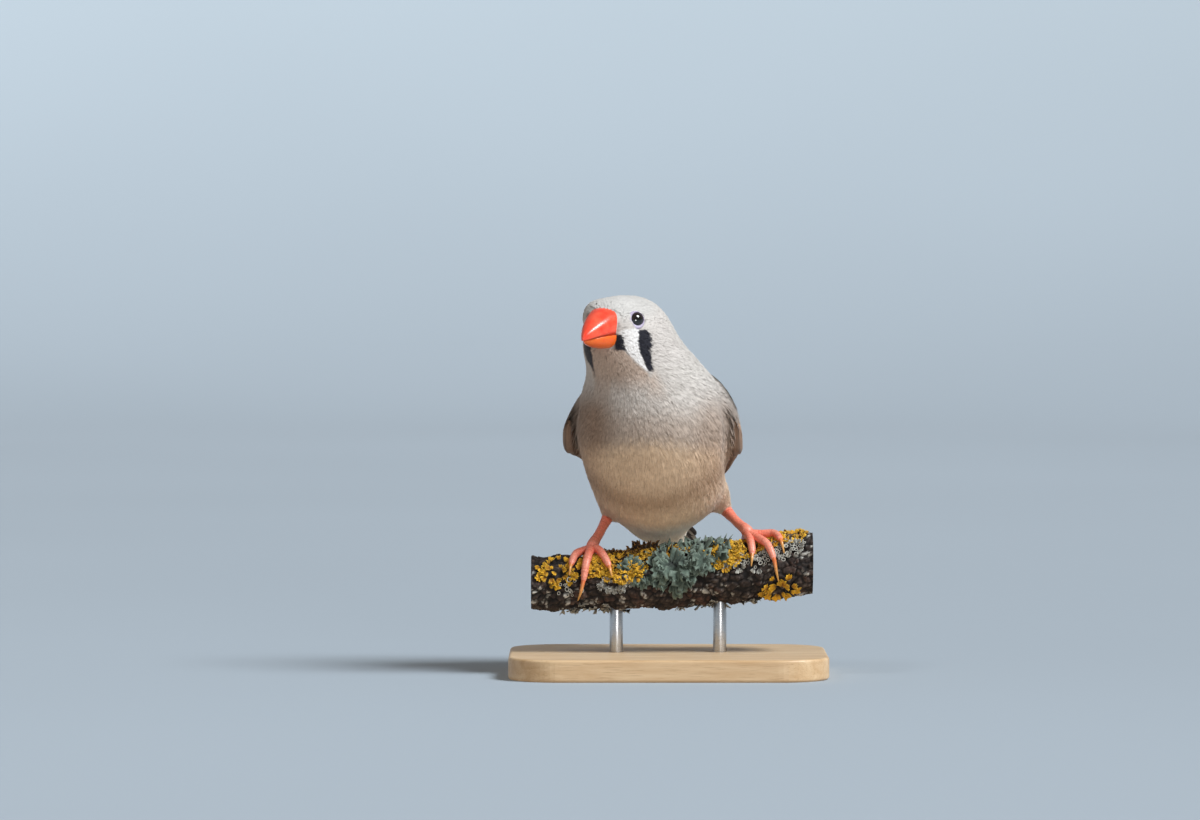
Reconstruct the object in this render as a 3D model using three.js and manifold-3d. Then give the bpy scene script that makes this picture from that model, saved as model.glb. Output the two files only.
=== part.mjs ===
// A zebra finch hen as a still, life-size museum model. It grips a short cut length of branch,
// and two short rods hold the branch over a flat base. Lengths are millimetres, +Z is up, the
// bird faces -Y, and the origin is the middle of the base's underside.
import * as THREE from "three";
import { mergeVertices } from "three/addons/utils/BufferGeometryUtils.js";
import Module from "manifold-3d";

const wasm = await Module();
wasm.setup();
const radians = THREE.MathUtils.degToRad;
const lerp = THREE.MathUtils.lerp;
const point = (x, y, z) => new THREE.Vector3(x, y, z);

// Driving dimensions of the stand and the perch
const TOUCH_GAP = 0.3;
const BARK_GAP = 0.42;
const BASE = { length: 86, width: 62, thickness: 6, corner: 14, bevel: 0.8 };
const ROD = { radius: 1.8, offset: 14, visible: 12, socket: 3 };
const PERCH = { radius: 7.8, left: -37, right: 39, slope: radians(4.1), bow: 0.0011, thicken: 0.018 };
const PERCH_HEIGHT = BASE.thickness + ROD.visible + PERCH.radius;

// Where the bird stands: its frame has x forward, y to its left and z up from the perch's axis
const BIRD = { x: -4.2, heading: radians(-98) };

// Plumage masses: centre, half lengths (along, across, deep), pitch of the long axis, blend
const BREAST = ellipsoid([1, 0.2, 41], [19, 21.2, 18.5], 60, 6);
const BELLY = ellipsoid([-5, 1.0, 29.5], [18, 19.0, 17], 50, 6);
const MANTLE = ellipsoid([-8, 0, 45], [17.5, 17.5, 13], 58, 6);
const NECK = ellipsoid([4, -3, 56.5], [12.5, 12.5, 13.5], 70, 9);
const RUMP = ellipsoid([-19, 0, 25], [15, 11, 9], 48, 8);
const VENT = ellipsoid([-20.5, 0, 16.5], [15, 9.4, 6.8], 40, 7);
const TAIL_COVERTS = ellipsoid([-31, 0, 11.2], [14, 6.2, 3.6], 42, 5);

// The head's own frame: turned to the bird's right, bill down, its left side a little lower
const HEAD = { centre: [8, -6.8, 67.1], turn: radians(-21), nod: radians(12), lean: radians(-9) };
const CRANIUM = ellipsoid([-2.5, 0.3, -0.9], [12.2, 10.7, 9.9], 0, 3);
const FACE = ellipsoid([4.6, 0, 2.9], [8.2, 7.4, 7.4], 0, 4);
const BILL_ROOT = ellipsoid([8.6, 0, 2.4], [3.5, 5.9, 5.6], 0, 3);
const CHEEKS = ellipsoid([1.5, 0.4, -3.8], [9.5, 9.7, 7], 0, 4);
const CHIN = ellipsoid([6, 0, -3.2], [6, 5.6, 4.6], 0, 4);

const EYE = { at: [5.9, 6.0], globe: 2.35, sunk: 1.6, lid: 0.42, ring: 1.95 };
const BILL = { root: 8.5, tip: 22.8, tipHeight: 3.1, culmen: 8.8, gape: 1.8, keel: -2.3, half: 4.95 };

// Neck and tail cuts: a point on each and the way it faces
const HEAD_CUT = { at: point(6, -5, 60), facing: point(0.35, -0.15, 0.92).normalize() };
const NECK_CUT = { at: point(3, -2, 54), facing: point(0.45, -0.1, 0.89).normalize() };
const TAIL = { root: point(-25.5, 0, 17), pitch: radians(42), length: 37, pairs: 6 };
TAIL.facing = point(-Math.cos(TAIL.pitch), 0, -Math.sin(TAIL.pitch));

const WING = { start: 12, core: 42, gap: 0.5, vane: 0.5, hung: { right: 2.4, left: 0.6 } };
const LEG = { ankle: 1.45, shank: 1.05, pad: 1.75, toe: 0.92, toeEnd: 0.7, claw: 0.6, clawTip: 0.14 };

// An ellipsoid as a signed distance, with its own blend width
function ellipsoid([x, y, z], [along, across, deep], pitch, blend) {
  const centre = point(x, y, z);
  const half = point(along, across, deep);
  const turn = new THREE.Quaternion().setFromAxisAngle(point(0, 1, 0), radians(pitch));
  const distance = (p) => {
    const q = p.clone().sub(centre).applyQuaternion(turn).divide(half);
    const reach = Math.max(q.length(), 1e-6);
    return (reach * (reach - 1)) / Math.max(q.divide(half).length(), 1e-6);
  };
  return { distance, blend };
}

// The smaller of two distances, rounded where they are near each other
function blended(a, b, width) {
  const near = Math.max(width - Math.abs(a - b), 0) / width;
  return Math.min(a, b) - (near * near * width) / 4;
}

const masses = (parts) => (p) =>
  parts.reduce((d, part) => blended(d, part.distance(p), part.blend), 1e6);

const headFrame = new THREE.Matrix4().compose(
  point(...HEAD.centre),
  new THREE.Quaternion().setFromEuler(new THREE.Euler(HEAD.lean, HEAD.nod, HEAD.turn, "ZYX")),
  point(1, 1, 1),
);
const intoHead = headFrame.clone().invert();
const headMass = masses([CRANIUM, FACE, CHEEKS, CHIN, BILL_ROOT]);
const trunkMass = masses([BREAST, BELLY, MANTLE, NECK, RUMP, VENT, TAIL_COVERTS]);
const HEAD_BLEND = 6;
const plumage = (p) =>
  blended(trunkMass(p), headMass(p.clone().applyMatrix4(intoHead)), HEAD_BLEND);

// How far from a point inside, along a direction, the field first reaches a level
function reachTo(field, from, way, level) {
  const at = (d) => field(from.clone().addScaledVector(way, d));
  let out = 0;
  while (at(out) < level) out += 1;
  let inside = out - 1;
  for (let i = 0; i < 20; i++) {
    const middle = (inside + out) / 2;
    if (at(middle) < level) inside = middle;
    else out = middle;
  }
  return out;
}

// A closed geometry as a solid for joining and cutting, with its faces turned outwards
function solid(geometry) {
  const bare = new THREE.BufferGeometry().setAttribute("position", geometry.getAttribute("position"));
  bare.setIndex(geometry.index);
  const merged = mergeVertices(bare, 1e-4);
  const build = (triVerts) =>
    new wasm.Manifold(
      new wasm.Mesh({ numProp: 3, vertProperties: merged.attributes.position.array, triVerts }),
    );
  const corners = [];
  for (let i = 0; i < merged.index.count; i += 3) {
    const [a, b, c] = [0, 1, 2].map((k) => merged.index.getX(i + k));
    if (a !== b && b !== c && a !== c) corners.push(a, b, c);
  }
  const made = build(new Uint32Array(corners));
  return made.volume() > 0 ? made : build(new Uint32Array(corners.reverse()));
}

const joined = (solids) => solids.reduce((all, one) => all.add(one));

// A solid's largest closed surface as a geometry
function geometryOf(made) {
  const largest = made.decompose().reduce((a, b) => (b.volume() > a.volume() ? b : a));
  const mesh = largest.getMesh();
  const places = new Float32Array(mesh.numVert * 3);
  for (let i = 0; i < mesh.numVert; i++) {
    places.set(mesh.vertProperties.subarray(i * mesh.numProp, i * mesh.numProp + 3), i * 3);
  }
  const geometry = new THREE.BufferGeometry();
  geometry.setAttribute("position", new THREE.BufferAttribute(places, 3));
  geometry.setIndex(new THREE.BufferAttribute(new Uint32Array(mesh.triVerts), 1));
  return geometry;
}

// The skin of a field seen from a point inside it: a ball whose every point is pushed out to it
function skinOf(field, centre, detail, level = 0) {
  const ball = new THREE.IcosahedronGeometry(1, detail);
  const places = ball.getAttribute("position");
  for (let i = 0; i < places.count; i++) {
    const way = point(0, 0, 0).fromBufferAttribute(places, i).normalize();
    const out = centre.clone().addScaledVector(way, reachTo(field, centre, way, level));
    places.setXYZ(i, out.x, out.y, out.z);
  }
  return solid(ball);
}

// All of space on the facing side of a plane, as a large box
function sideOf({ at, facing }, shift = 0) {
  const size = 200;
  const box = new THREE.BoxGeometry(size, size, size).translate(0, 0, size / 2);
  const turn = new THREE.Quaternion().setFromUnitVectors(point(0, 0, 1), facing);
  box.applyQuaternion(turn);
  const corner = at.clone().addScaledVector(facing, shift);
  return solid(box.translate(corner.x, corner.y, corner.z));
}

const ballAt = (centre, radius, across = 14, tall = 10) =>
  solid(new THREE.SphereGeometry(radius, across, tall).translate(centre.x, centre.y, centre.z));

// A closed skin over rings of equally many points, with a flat fan over each end
function loft(rings) {
  const count = rings[0].length;
  const places = rings.flat().flatMap((p) => [p.x, p.y, p.z]);
  const faces = [];
  for (let i = 0; i + 1 < rings.length; i++) {
    for (let j = 0; j < count; j++) {
      const [a, b] = [i * count + j, i * count + ((j + 1) % count)];
      faces.push(a, b, b + count, a, b + count, a + count);
    }
  }
  [0, rings.length - 1].forEach((end) => {
    const hub = places.length / 3;
    const middle = rings[end].reduce((sum, p) => sum.add(p), point(0, 0, 0)).divideScalar(count);
    places.push(middle.x, middle.y, middle.z);
    for (let j = 0; j < count; j++) {
      const [a, b] = [end * count + j, end * count + ((j + 1) % count)];
      faces.push(...(end ? [a, b, hub] : [b, a, hub]));
    }
  });
  const geometry = new THREE.BufferGeometry();
  geometry.setAttribute("position", new THREE.Float32BufferAttribute(places, 3));
  geometry.setIndex(faces);
  return solid(geometry);
}

// A round tube along part of a curve, with its radius given along that part
function tube(curve, from, to, radius, sides, steps) {
  const start = curve.getTangentAt(from);
  let across = point(0, 0, 1).cross(start).normalize();
  if (across.lengthSq() < 0.5) across = point(1, 0, 0);
  const rings = [];
  for (let i = 0; i <= steps; i++) {
    const share = i / steps;
    const u = lerp(from, to, share);
    const along = curve.getTangentAt(u);
    across = across.addScaledVector(along, -across.dot(along)).normalize().clone();
    const up = along.clone().cross(across);
    const centre = curve.getPointAt(u);
    const ring = [];
    for (let j = 0; j < sides; j++) {
      const turn = (2 * Math.PI * j) / sides;
      const out = across.clone().multiplyScalar(Math.cos(turn)).addScaledVector(up, Math.sin(turn));
      ring.push(centre.clone().addScaledVector(out, radius(share)));
    }
    rings.push(ring);
  }
  return loft(rings);
}

// A thin plate on any sheet: rows of (u, v, low, high), where the sheet turns u, v, height to a place.
// Both faces are split along the same diagonals.
function plate(sheet, rows) {
  const columns = rows[0].length;
  const places = [];
  rows.forEach((row) =>
    row.forEach(({ u, v, low, high }) => {
      const [under, over] = [sheet(u, v, low), sheet(u, v, high)];
      places.push(under.x, under.y, under.z, over.x, over.y, over.z);
    }),
  );
  const vertex = (i, j, top) => (i * columns + j) * 2 + top;
  const faces = [];
  const quad = (a, b, c, d) => faces.push(a, b, c, a, c, d);
  for (let i = 0; i + 1 < rows.length; i++) {
    for (let j = 0; j + 1 < columns; j++) {
      quad(vertex(i, j, 1), vertex(i + 1, j, 1), vertex(i + 1, j + 1, 1), vertex(i, j + 1, 1));
      faces.push(vertex(i, j, 0), vertex(i + 1, j + 1, 0), vertex(i + 1, j, 0));
      faces.push(vertex(i, j, 0), vertex(i, j + 1, 0), vertex(i + 1, j + 1, 0));
    }
    const last = columns - 1;
    quad(vertex(i, 0, 0), vertex(i + 1, 0, 0), vertex(i + 1, 0, 1), vertex(i, 0, 1));
    quad(vertex(i, last, 1), vertex(i + 1, last, 1), vertex(i + 1, last, 0), vertex(i, last, 0));
  }
  for (let j = 0; j + 1 < columns; j++) {
    const end = rows.length - 1;
    quad(vertex(0, j, 1), vertex(0, j + 1, 1), vertex(0, j + 1, 0), vertex(0, j, 0));
    quad(vertex(end, j, 0), vertex(end, j + 1, 0), vertex(end, j + 1, 1), vertex(end, j, 1));
  }
  const geometry = new THREE.BufferGeometry();
  geometry.setAttribute("position", new THREE.Float32BufferAttribute(places, 3));
  geometry.setIndex(faces);
  return solid(geometry);
}

// One feather on a sheet, from its root to its tip, narrow at its root and rounded at its end
function vane(sheet, { root, tip, width, lift, steps }) {
  const run = new THREE.Vector2(tip[0] - root[0], tip[1] - root[1]);
  const length = run.length();
  const along = run.clone().divideScalar(length);
  const cap = Math.min((0.7 * width) / length, 0.4);
  const stations = Array.from({ length: steps }, (_, i) => ((1 - cap) * i) / (steps - 1));
  const rows = [];
  [...stations, 1 - 0.35 * cap, 1].forEach((share) => {
    const round = Math.sqrt(Math.max(1 - (Math.max(share - 1 + cap, 0) / cap) ** 2, 0.12));
    const half = (width / 2) * lerp(0.6, 1, Math.min(share / 0.35, 1)) * round;
    const base = lerp(lift[0], lift[1], share);
    const thick = WING.vane * lerp(1, 0.6, Math.max(share - 0.8, 0) / 0.2);
    rows.push(
      [-1, 1].map((side) => ({
        u: root[0] + along.x * share * length - along.y * side * half,
        v: root[1] + along.y * share * length + along.x * side * half,
        low: base,
        high: base + thick,
      })),
    );
  });
  return plate(sheet, rows);
}

// The trunk's middle line, which the folded wings follow from the shoulder to past the rump
const spine = new THREE.CatmullRomCurve3([
  point(9, 0, 55),
  point(-4, 0, 38),
  point(-18, 0, 24),
  point(-31, 0, 12.5),
  point(-46, 0, -1),
]);
const SPINE_LENGTH = spine.getLength();

// A value read off a few evenly spaced ones, smoothly
function along(values, share) {
  const place = THREE.MathUtils.clamp(share, 0, 1) * (values.length - 1);
  const i = Math.min(Math.floor(place), values.length - 2);
  const ease = place - i;
  return lerp(values[i], values[i + 1], ease);
}

// The wing's sheet: u runs from the wrist to the wing's tip, v from the lower edge towards the
// back, and the height is counted out from the plumage under it. side is 1 on the bird's left.
const WING_LENGTH = 57;
const LOWER_EDGE = [86, 102, 97, 86, 73, 58, 44];
const CURL_RADIUS = [19, 19, 18, 16, 13, 10, 8];
const wingSheet = (side) => (u, v, height) => {
  const share = u / WING_LENGTH;
  const at = THREE.MathUtils.clamp((WING.start + u) / SPINE_LENGTH, 0, 1);
  const centre = spine.getPointAt(at);
  const down = spine.getTangentAt(at);
  const back = point(down.z, 0, -down.x);
  const turn = radians(along(LOWER_EDGE, share)) - v / along(CURL_RADIUS, share);
  const way = back.multiplyScalar(Math.cos(turn)).add(point(0, side * Math.sin(turn), 0));
  const reach = reachTo(trunkMass, centre, way, 0);
  const bow = Math.sin(Math.PI * Math.min(share, 1)) ** 0.5 * Math.max(1 - v / 15, 0);
  const hung = WING.hung[side < 0 ? "right" : "left"] * bow;
  return centre.addScaledVector(way, reach + hung + height);
};

// The wing's body: arm, hand and the small coverts over them, thin at its edges
const WING_BREADTH = [13, 19, 21.5, 19.5, 14, 9, 5];
function wingCore(sheet) {
  const [steps, columns] = [9, 6];
  const rows = [];
  for (let i = 0; i <= steps; i++) {
    const share = i / steps;
    const u = share * WING.core;
    const breadth = along(WING_BREADTH, u / WING_LENGTH) - 1.2;
    const bulk = Math.sin(Math.PI * Math.min(0.04 + share, 1)) ** 0.6;
    const row = [];
    for (let j = 0; j < columns; j++) {
      const over = Math.sin(Math.PI * (0.08 + (0.84 * j) / (columns - 1)));
      const high = WING.gap + 0.5 + 1.9 * bulk * over;
      row.push({ u, v: 1 + (breadth * j) / (columns - 1), low: WING.gap, high });
    }
    rows.push(row);
  }
  return plate(sheet, rows);
}

// Evenly spaced feathers between a first and a last one
const tier = (count, first, last) =>
  Array.from({ length: count }, (_, i) => {
    const share = count > 1 ? i / (count - 1) : 0;
    const mix = (a, b) => a.map((value, k) => lerp(value, b[k], share));
    return {
      root: mix(first.root, last.root),
      tip: mix(first.tip, last.tip),
      width: lerp(first.width, last.width, share),
      lift: mix(first.lift, last.lift),
      steps: first.steps,
    };
  });

const PRIMARIES = tier(
  6,
  { root: [13, 2.4], tip: [57, 1.6], width: 3.0, lift: [0.8, 0.8], steps: 4 },
  { root: [16, 8.4], tip: [44, 8.2], width: 3.2, lift: [1.3, 1.9] },
);
const SECONDARIES = tier(
  3,
  { root: [16, 9.8], tip: [42, 9.6], width: 3.8, lift: [1.4, 2.2], steps: 4 },
  { root: [16, 14.5], tip: [40.5, 11.3], width: 3.8, lift: [1.6, 2.7] },
);
const TERTIALS = tier(
  3,
  { root: [14, 16], tip: [37.5, 11.8], width: 5.2, lift: [1.6, 3.0], steps: 4 },
  { root: [13, 20], tip: [29.5, 17.2], width: 5.4, lift: [1.8, 3.4] },
);
const PRIMARY_COVERTS = tier(
  2,
  { root: [9, 2.8], tip: [26, 2.8], width: 3.4, lift: [1.2, 2.0], steps: 3 },
  { root: [11, 5.6], tip: [24.5, 5.6], width: 3.4, lift: [1.4, 2.6] },
);
const GREATER_COVERTS = tier(
  6,
  { root: [10, 7], tip: [23, 8], width: 3.3, lift: [1.6, 3.1], steps: 3 },
  { root: [9, 19.5], tip: [21.5, 19.6], width: 3.5, lift: [1.9, 3.9] },
);
const MEDIAN_COVERTS = tier(
  5,
  { root: [4, 3.4], tip: [13.5, 4], width: 3.9, lift: [1.2, 3.0], steps: 3 },
  { root: [3.5, 16], tip: [12.5, 17], width: 4.1, lift: [1.4, 3.5] },
);

function wing(side) {
  const sheet = wingSheet(side);
  const feathers = [
    ...PRIMARIES,
    ...SECONDARIES,
    ...TERTIALS,
    ...PRIMARY_COVERTS,
    ...GREATER_COVERTS,
    ...MEDIAN_COVERTS,
  ];
  return joined([wingCore(sheet), ...feathers.map((one) => vane(sheet, one))]);
}

// The tail's sheet: u along the feathers, v to the bird's left, height towards its back
const tailSheet = (u, v, height) =>
  TAIL.root
    .clone()
    .addScaledVector(TAIL.facing, u)
    .add(point(-TAIL.facing.z, 0, TAIL.facing.x).multiplyScalar(-height))
    .add(point(0, v, 0));

function tailFeathers() {
  const feathers = [];
  [-1, 1].forEach((side) => {
    for (let i = 0; i < TAIL.pairs; i++) {
      feathers.push({
        root: [3, side * (0.5 + 0.25 * i)],
        tip: [TAIL.length - [0.4, 0, 0, 0.4, 1.0, 2.0][i], side * (1.1 + 0.9 * i)],
        width: 3.6,
        lift: [-0.6 - 0.16 * i, 0.3 - 0.3 * i],
        steps: 2,
      });
    }
  });
  for (let i = 0; i < 4; i++) {
    const off = (i - 1.5) / 1.5;
    feathers.push({
      root: [2, 2.6 * off],
      tip: [17 - 4 * off * off, 4.2 * off],
      width: 4.4,
      lift: [1.3 - Math.abs(off), 1.2 - 0.7 * Math.abs(off)],
      steps: 3,
    });
    feathers.push({
      root: [3, 2.6 * off],
      tip: [24 - 5 * off * off, 3.2 * off],
      width: 4.4,
      lift: [-2.6 + 0.6 * Math.abs(off), -2.4 + 0.4 * Math.abs(off)],
      steps: 3,
    });
  }
  return feathers;
}

// The mouth line's height, and the upper bill at one place along it: an arch over a flat palate
const rimHeight = (share) =>
  lerp(BILL.gape, BILL.tipHeight - 0.5, share) + 0.75 * Math.sin(Math.PI * share);

function upperSection(share, sides) {
  const x = lerp(BILL.root, BILL.tip, share);
  const taper = Math.max(1 - share ** 1.6, 0) ** 0.8;
  const top = lerp(BILL.tipHeight - 0.3, BILL.culmen + 0.2, taper ** 0.85);
  return archPoints(x, rimHeight(share), top, Math.max(BILL.half * taper, 0.25), sides);
}

function lowerSection(share, sides) {
  const x = lerp(BILL.root, BILL.tip - 1, share);
  const taper = Math.max(1 - share ** 1.8, 0) ** 0.75;
  const rim = rimHeight((x - BILL.root) / (BILL.tip - BILL.root)) - TOUCH_GAP;
  const foot = Math.min(lerp(BILL.tipHeight - 0.9, BILL.keel, taper), rim - 0.3);
  return archPoints(x, rim, foot, Math.max((BILL.half - 0.3) * taper, 0.2), sides);
}

function archPoints(x, rim, crest, half, sides) {
  const ring = [];
  for (let j = 0; j <= sides; j++) {
    const turn = lerp(-Math.PI / 2, Math.PI / 2, j / sides);
    const across = Math.sign(turn) * Math.abs(Math.sin(turn)) ** 0.8;
    ring.push(point(x, half * across, rim + (crest - rim) * Math.cos(turn) ** 0.8));
  }
  return ring;
}

function billHalf(section, sides, steps) {
  const rings = Array.from({ length: steps + 1 }, (_, i) => section(0.985 * (i / steps) ** 0.8, sides));
  return loft(rings);
}

// Feathered leg, bare shank with its pad, four toes and four claws, placed on the perch's bark
const perchAxis = (x) => point(x, 0, Math.tan(PERCH.slope) * x + PERCH.bow * x * x);
const barkBumps = (x, turn) =>
  0.28 * Math.sin(x * 0.31 + 1.2) * Math.cos(2 * turn + x * 0.11) +
  0.22 * Math.sin(x * 0.62 + 3 * turn) +
  0.16 * Math.cos(x * 1.05 - 4 * turn + 0.6);
const barkRadius = (x, turn) => PERCH.radius + PERCH.thicken * x + barkBumps(x, turn);
const onBark = (x, turn, lift) => {
  const out = barkRadius(x, turn) + lift;
  return perchAxis(x).add(point(0, -Math.sin(turn) * out, Math.cos(turn) * out));
};

const birdFrame = new THREE.Matrix4().compose(
  point(BIRD.x, 0, 0),
  new THREE.Quaternion().setFromAxisAngle(point(0, 0, 1), BIRD.heading),
  point(1, 1, 1),
);
const intoBird = birdFrame.clone().invert();

// Places along each toe as x and angle round the perch in degrees (0 on top, 90 in front), then
// the claw's tip. right and left are the bird's own.
const LEGS = {
  right: {
    hip: point(-12.8, 6.5, 26),
    ankle: point(-15.8, 10.5, 17.3),
    pad: [-20.6, 3],
    toes: {
      outer: { path: [[-22.6, 5], [-24.8, 18], [-26.2, 50]], tip: [-26.7, 72] },
      middle: { path: [[-21.3, 25], [-22.2, 55], [-22.9, 84]], tip: [-24.4, 126] },
      inner: { path: [[-18.9, 16], [-17.2, 37], [-15.9, 58]], tip: [-15.1, 80] },
      hind: { path: [[-20.8, -25], [-21.0, -55], [-21.2, -80]], tip: [-21.5, -116] },
    },
  },
  left: {
    hip: point(9.8, 6.5, 27),
    ankle: point(15.4, 11, 18.6),
    pad: [21.5, 4],
    toes: {
      inner: { path: [[22.1, 24], [22.5, 42], [22.6, 57]], tip: [22.3, 79] },
      middle: { path: [[24.0, 22], [26.6, 43], [28.4, 73]], tip: [29.7, 114] },
      outer: { path: [[25.2, 6], [28.6, 12], [30.3, 38]], tip: [31.2, 62] },
      hind: { path: [[21.1, -25], [20.7, -53], [20.4, -77]], tip: [20.2, -113] },
    },
  },
};

function legParts(leg) {
  const inBird = (p) => p.clone().applyMatrix4(intoBird);
  const padCentre = inBird(onBark(leg.pad[0], radians(leg.pad[1]), LEG.pad + BARK_GAP));
  const [hip, ankle] = [inBird(leg.hip), inBird(leg.ankle)];
  const shankLine = new THREE.LineCurve3(ankle, padCentre);
  const shank = joined([
    ballAt(ankle, LEG.ankle, 8, 6),
    tube(shankLine, 0, 1, (s) => LEG.shank * lerp(1.1, 1, Math.min(4 * s, 1)), 8, 3),
    ballAt(padCentre, LEG.pad, 10, 7),
  ]);
  const clear = joined([
    ballAt(ankle, LEG.ankle + TOUCH_GAP, 8, 6),
    tube(shankLine, 0, 1, () => LEG.shank * 1.1 + TOUCH_GAP, 8, 1),
  ]);
  const thighLine = new THREE.LineCurve3(hip, ankle);
  const thighRadius = (s) => along([3.4, 4.1, 4.4, 3.8, 2.3], s);
  const thigh = tube(thighLine, 0, 1, thighRadius, 10, 6).subtract(clear);
  const padClear = ballAt(padCentre, LEG.pad + TOUCH_GAP, 12, 8);
  const parts = { thigh: thigh.subtract(trunkClear), shank };
  let middleClear = null;
  ["middle", "outer", "inner", "hind"].forEach((name) => {
    const { path, tip } = leg.toes[name];
    const lifts = [LEG.toe + 0.35, LEG.toe, LEG.toeEnd];
    const places = path.map(([x, turn], i) => onBark(x, radians(turn), lifts[i] + BARK_GAP));
    const [endX, endTurn] = path[path.length - 1];
    const hump = onBark(lerp(endX, tip[0], 0.5), radians(lerp(endTurn, tip[1], 0.5)), 1.3);
    places.push(hump, onBark(tip[0], radians(tip[1]), LEG.clawTip + BARK_GAP));
    const line = new THREE.CatmullRomCurve3([padCentre, ...places.map(inBird)], false, "centripetal");
    const length = line.getLength();
    const toeEnd = nearestShare(line, inBird(places[2]));
    const toeRadius = (grow) => (s) =>
      lerp(LEG.toe, LEG.toeEnd, s) + 0.1 * Math.sin(3 * Math.PI * s) ** 2 + grow;
    let toe = tube(line, 0, toeEnd, toeRadius(0), 7, 7).subtract(padClear);
    if (name === "middle") middleClear = tube(line, 0, toeEnd, toeRadius(TOUCH_GAP), 7, 7);
    else toe = toe.subtract(middleClear);
    toe = toe.subtract(tube(shankLine, 0, 1, () => LEG.shank + TOUCH_GAP, 10, 2));
    const clawRadius = (s) => lerp(LEG.claw, LEG.clawTip, s ** 0.9);
    parts[`toe_${name}`] = toe;
    parts[`claw_${name}`] = tube(line, toeEnd + TOUCH_GAP / length, 1, clawRadius, 6, 4);
  });
  return { parts, clear };
}

// The share of a curve's length nearest to a point on it
function nearestShare(line, place) {
  let best = 0;
  for (let i = 0; i <= 200; i++) {
    const nearer = line.getPointAt(i / 200).distanceTo(place) < line.getPointAt(best).distanceTo(place);
    if (nearer) best = i / 200;
  }
  return best;
}

// Eyes: a globe set in a socket inside a raised ring of lid
function eyeParts(side) {
  const inner = point(EYE.at[0], 0, EYE.at[1]);
  const reach = reachTo(headMass, inner, point(0, side, 0), 0);
  const surface = point(EYE.at[0], side * reach, EYE.at[1]);
  const slope = (axis) =>
    headMass(surface.clone().addScaledVector(axis, 0.2)) -
    headMass(surface.clone().addScaledVector(axis, -0.2));
  const facing = point(slope(point(1, 0, 0)), slope(point(0, 1, 0)), slope(point(0, 0, 1)));
  facing.normalize().add(point(0.3, 0, 0)).normalize();
  const centre = surface.clone().addScaledVector(facing, -EYE.sunk);
  const lid = new THREE.TorusGeometry(EYE.ring, EYE.lid, 6, 12);
  lid.applyQuaternion(new THREE.Quaternion().setFromUnitVectors(point(0, 0, 1), facing));
  lid.translate(surface.x, surface.y, surface.z);
  lid.applyMatrix4(headFrame);
  const middle = centre.applyMatrix4(headFrame);
  return {
    lid: solid(lid),
    socket: ballAt(middle, EYE.globe + TOUCH_GAP, 12, 9),
    globe: ballAt(middle, EYE.globe, 12, 9),
  };
}

// Whole plumage, parted with thin cuts into torso, neck, head and tail
const TORSO_MIDDLE = point(-3, 0, 37);
const NECK_MIDDLE = point(4.5, -3.5, 57);
const HEAD_MIDDLE = point(...HEAD.centre);
const TAIL_MIDDLE = TAIL.root.clone().addScaledVector(TAIL.facing, 5).add(point(0, 0, -1));
const tailCut = { at: TAIL.root, facing: TAIL.facing };
const HALF_GAP = TOUCH_GAP / 2;

const trunkSkin = skinOf(plumage, TORSO_MIDDLE, 7);
const trunkClear = skinOf(plumage, TORSO_MIDDLE, 7, TOUCH_GAP);
const legs = { left: legParts(LEGS.left), right: legParts(LEGS.right) };
const torso = trunkSkin
  .subtract(sideOf(NECK_CUT, -HALF_GAP))
  .subtract(sideOf(tailCut, -HALF_GAP))
  .subtract(legs.left.clear)
  .subtract(legs.right.clear);
const neck = skinOf(plumage, NECK_MIDDLE, 6)
  .intersect(sideOf(NECK_CUT, HALF_GAP))
  .subtract(sideOf(HEAD_CUT, -HALF_GAP));
const eyes = { left: eyeParts(1), right: eyeParts(-1) };
const head = skinOf(plumage, HEAD_MIDDLE, 6)
  .intersect(sideOf(HEAD_CUT, HALF_GAP))
  .add(eyes.left.lid)
  .add(eyes.right.lid)
  .subtract(eyes.left.socket)
  .subtract(eyes.right.socket);
const headClear = skinOf(plumage, HEAD_MIDDLE, 6, TOUCH_GAP);
const tail = joined([
  skinOf(trunkMass, TAIL_MIDDLE, 5).intersect(sideOf(tailCut, HALF_GAP)),
  ...tailFeathers().map((one) => vane(tailSheet, one)),
]).intersect(sideOf(tailCut, HALF_GAP));

// The bill's two halves, cut to the face they grow from, with a nostril pit on each side
const nostrils = [-1, 1].map((side) => ballAt(point(12.3, side * 3.5, 7.3), 0.6, 8, 6));
const billPart = (made) => {
  const placed = made.transform(headFrame.elements);
  return placed.subtract(headClear);
};
const billUpper = billPart(billHalf(upperSection, 10, 8).subtract(joined(nostrils)));
const billLower = billPart(billHalf(lowerSection, 9, 7));

// Perch: a cut length of knobbly branch, with a blind hole over each rod
function perch() {
  const [steps, sides] = [17, 16];
  const rings = [];
  for (let i = 0; i <= steps; i++) {
    const x = lerp(PERCH.left, PERCH.right, i / steps);
    const ring = [];
    for (let j = 0; j < sides; j++) ring.push(onBark(x, (-2 * Math.PI * j) / sides, 0));
    rings.push(ring);
  }
  return loft(rings);
}

const rodTop = (x) => perchAxis(x).z - barkRadius(x, Math.PI) + ROD.socket;
function rodSolid(x, grow) {
  const foot = BASE.thickness - ROD.socket - PERCH_HEIGHT;
  const height = rodTop(x) - foot + 2 * grow;
  const rod = new THREE.CylinderGeometry(ROD.radius + grow, ROD.radius + grow, height, 24);
  rod.rotateX(Math.PI / 2).translate(x, 0, foot + height / 2 - grow);
  return solid(rod);
}

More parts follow.
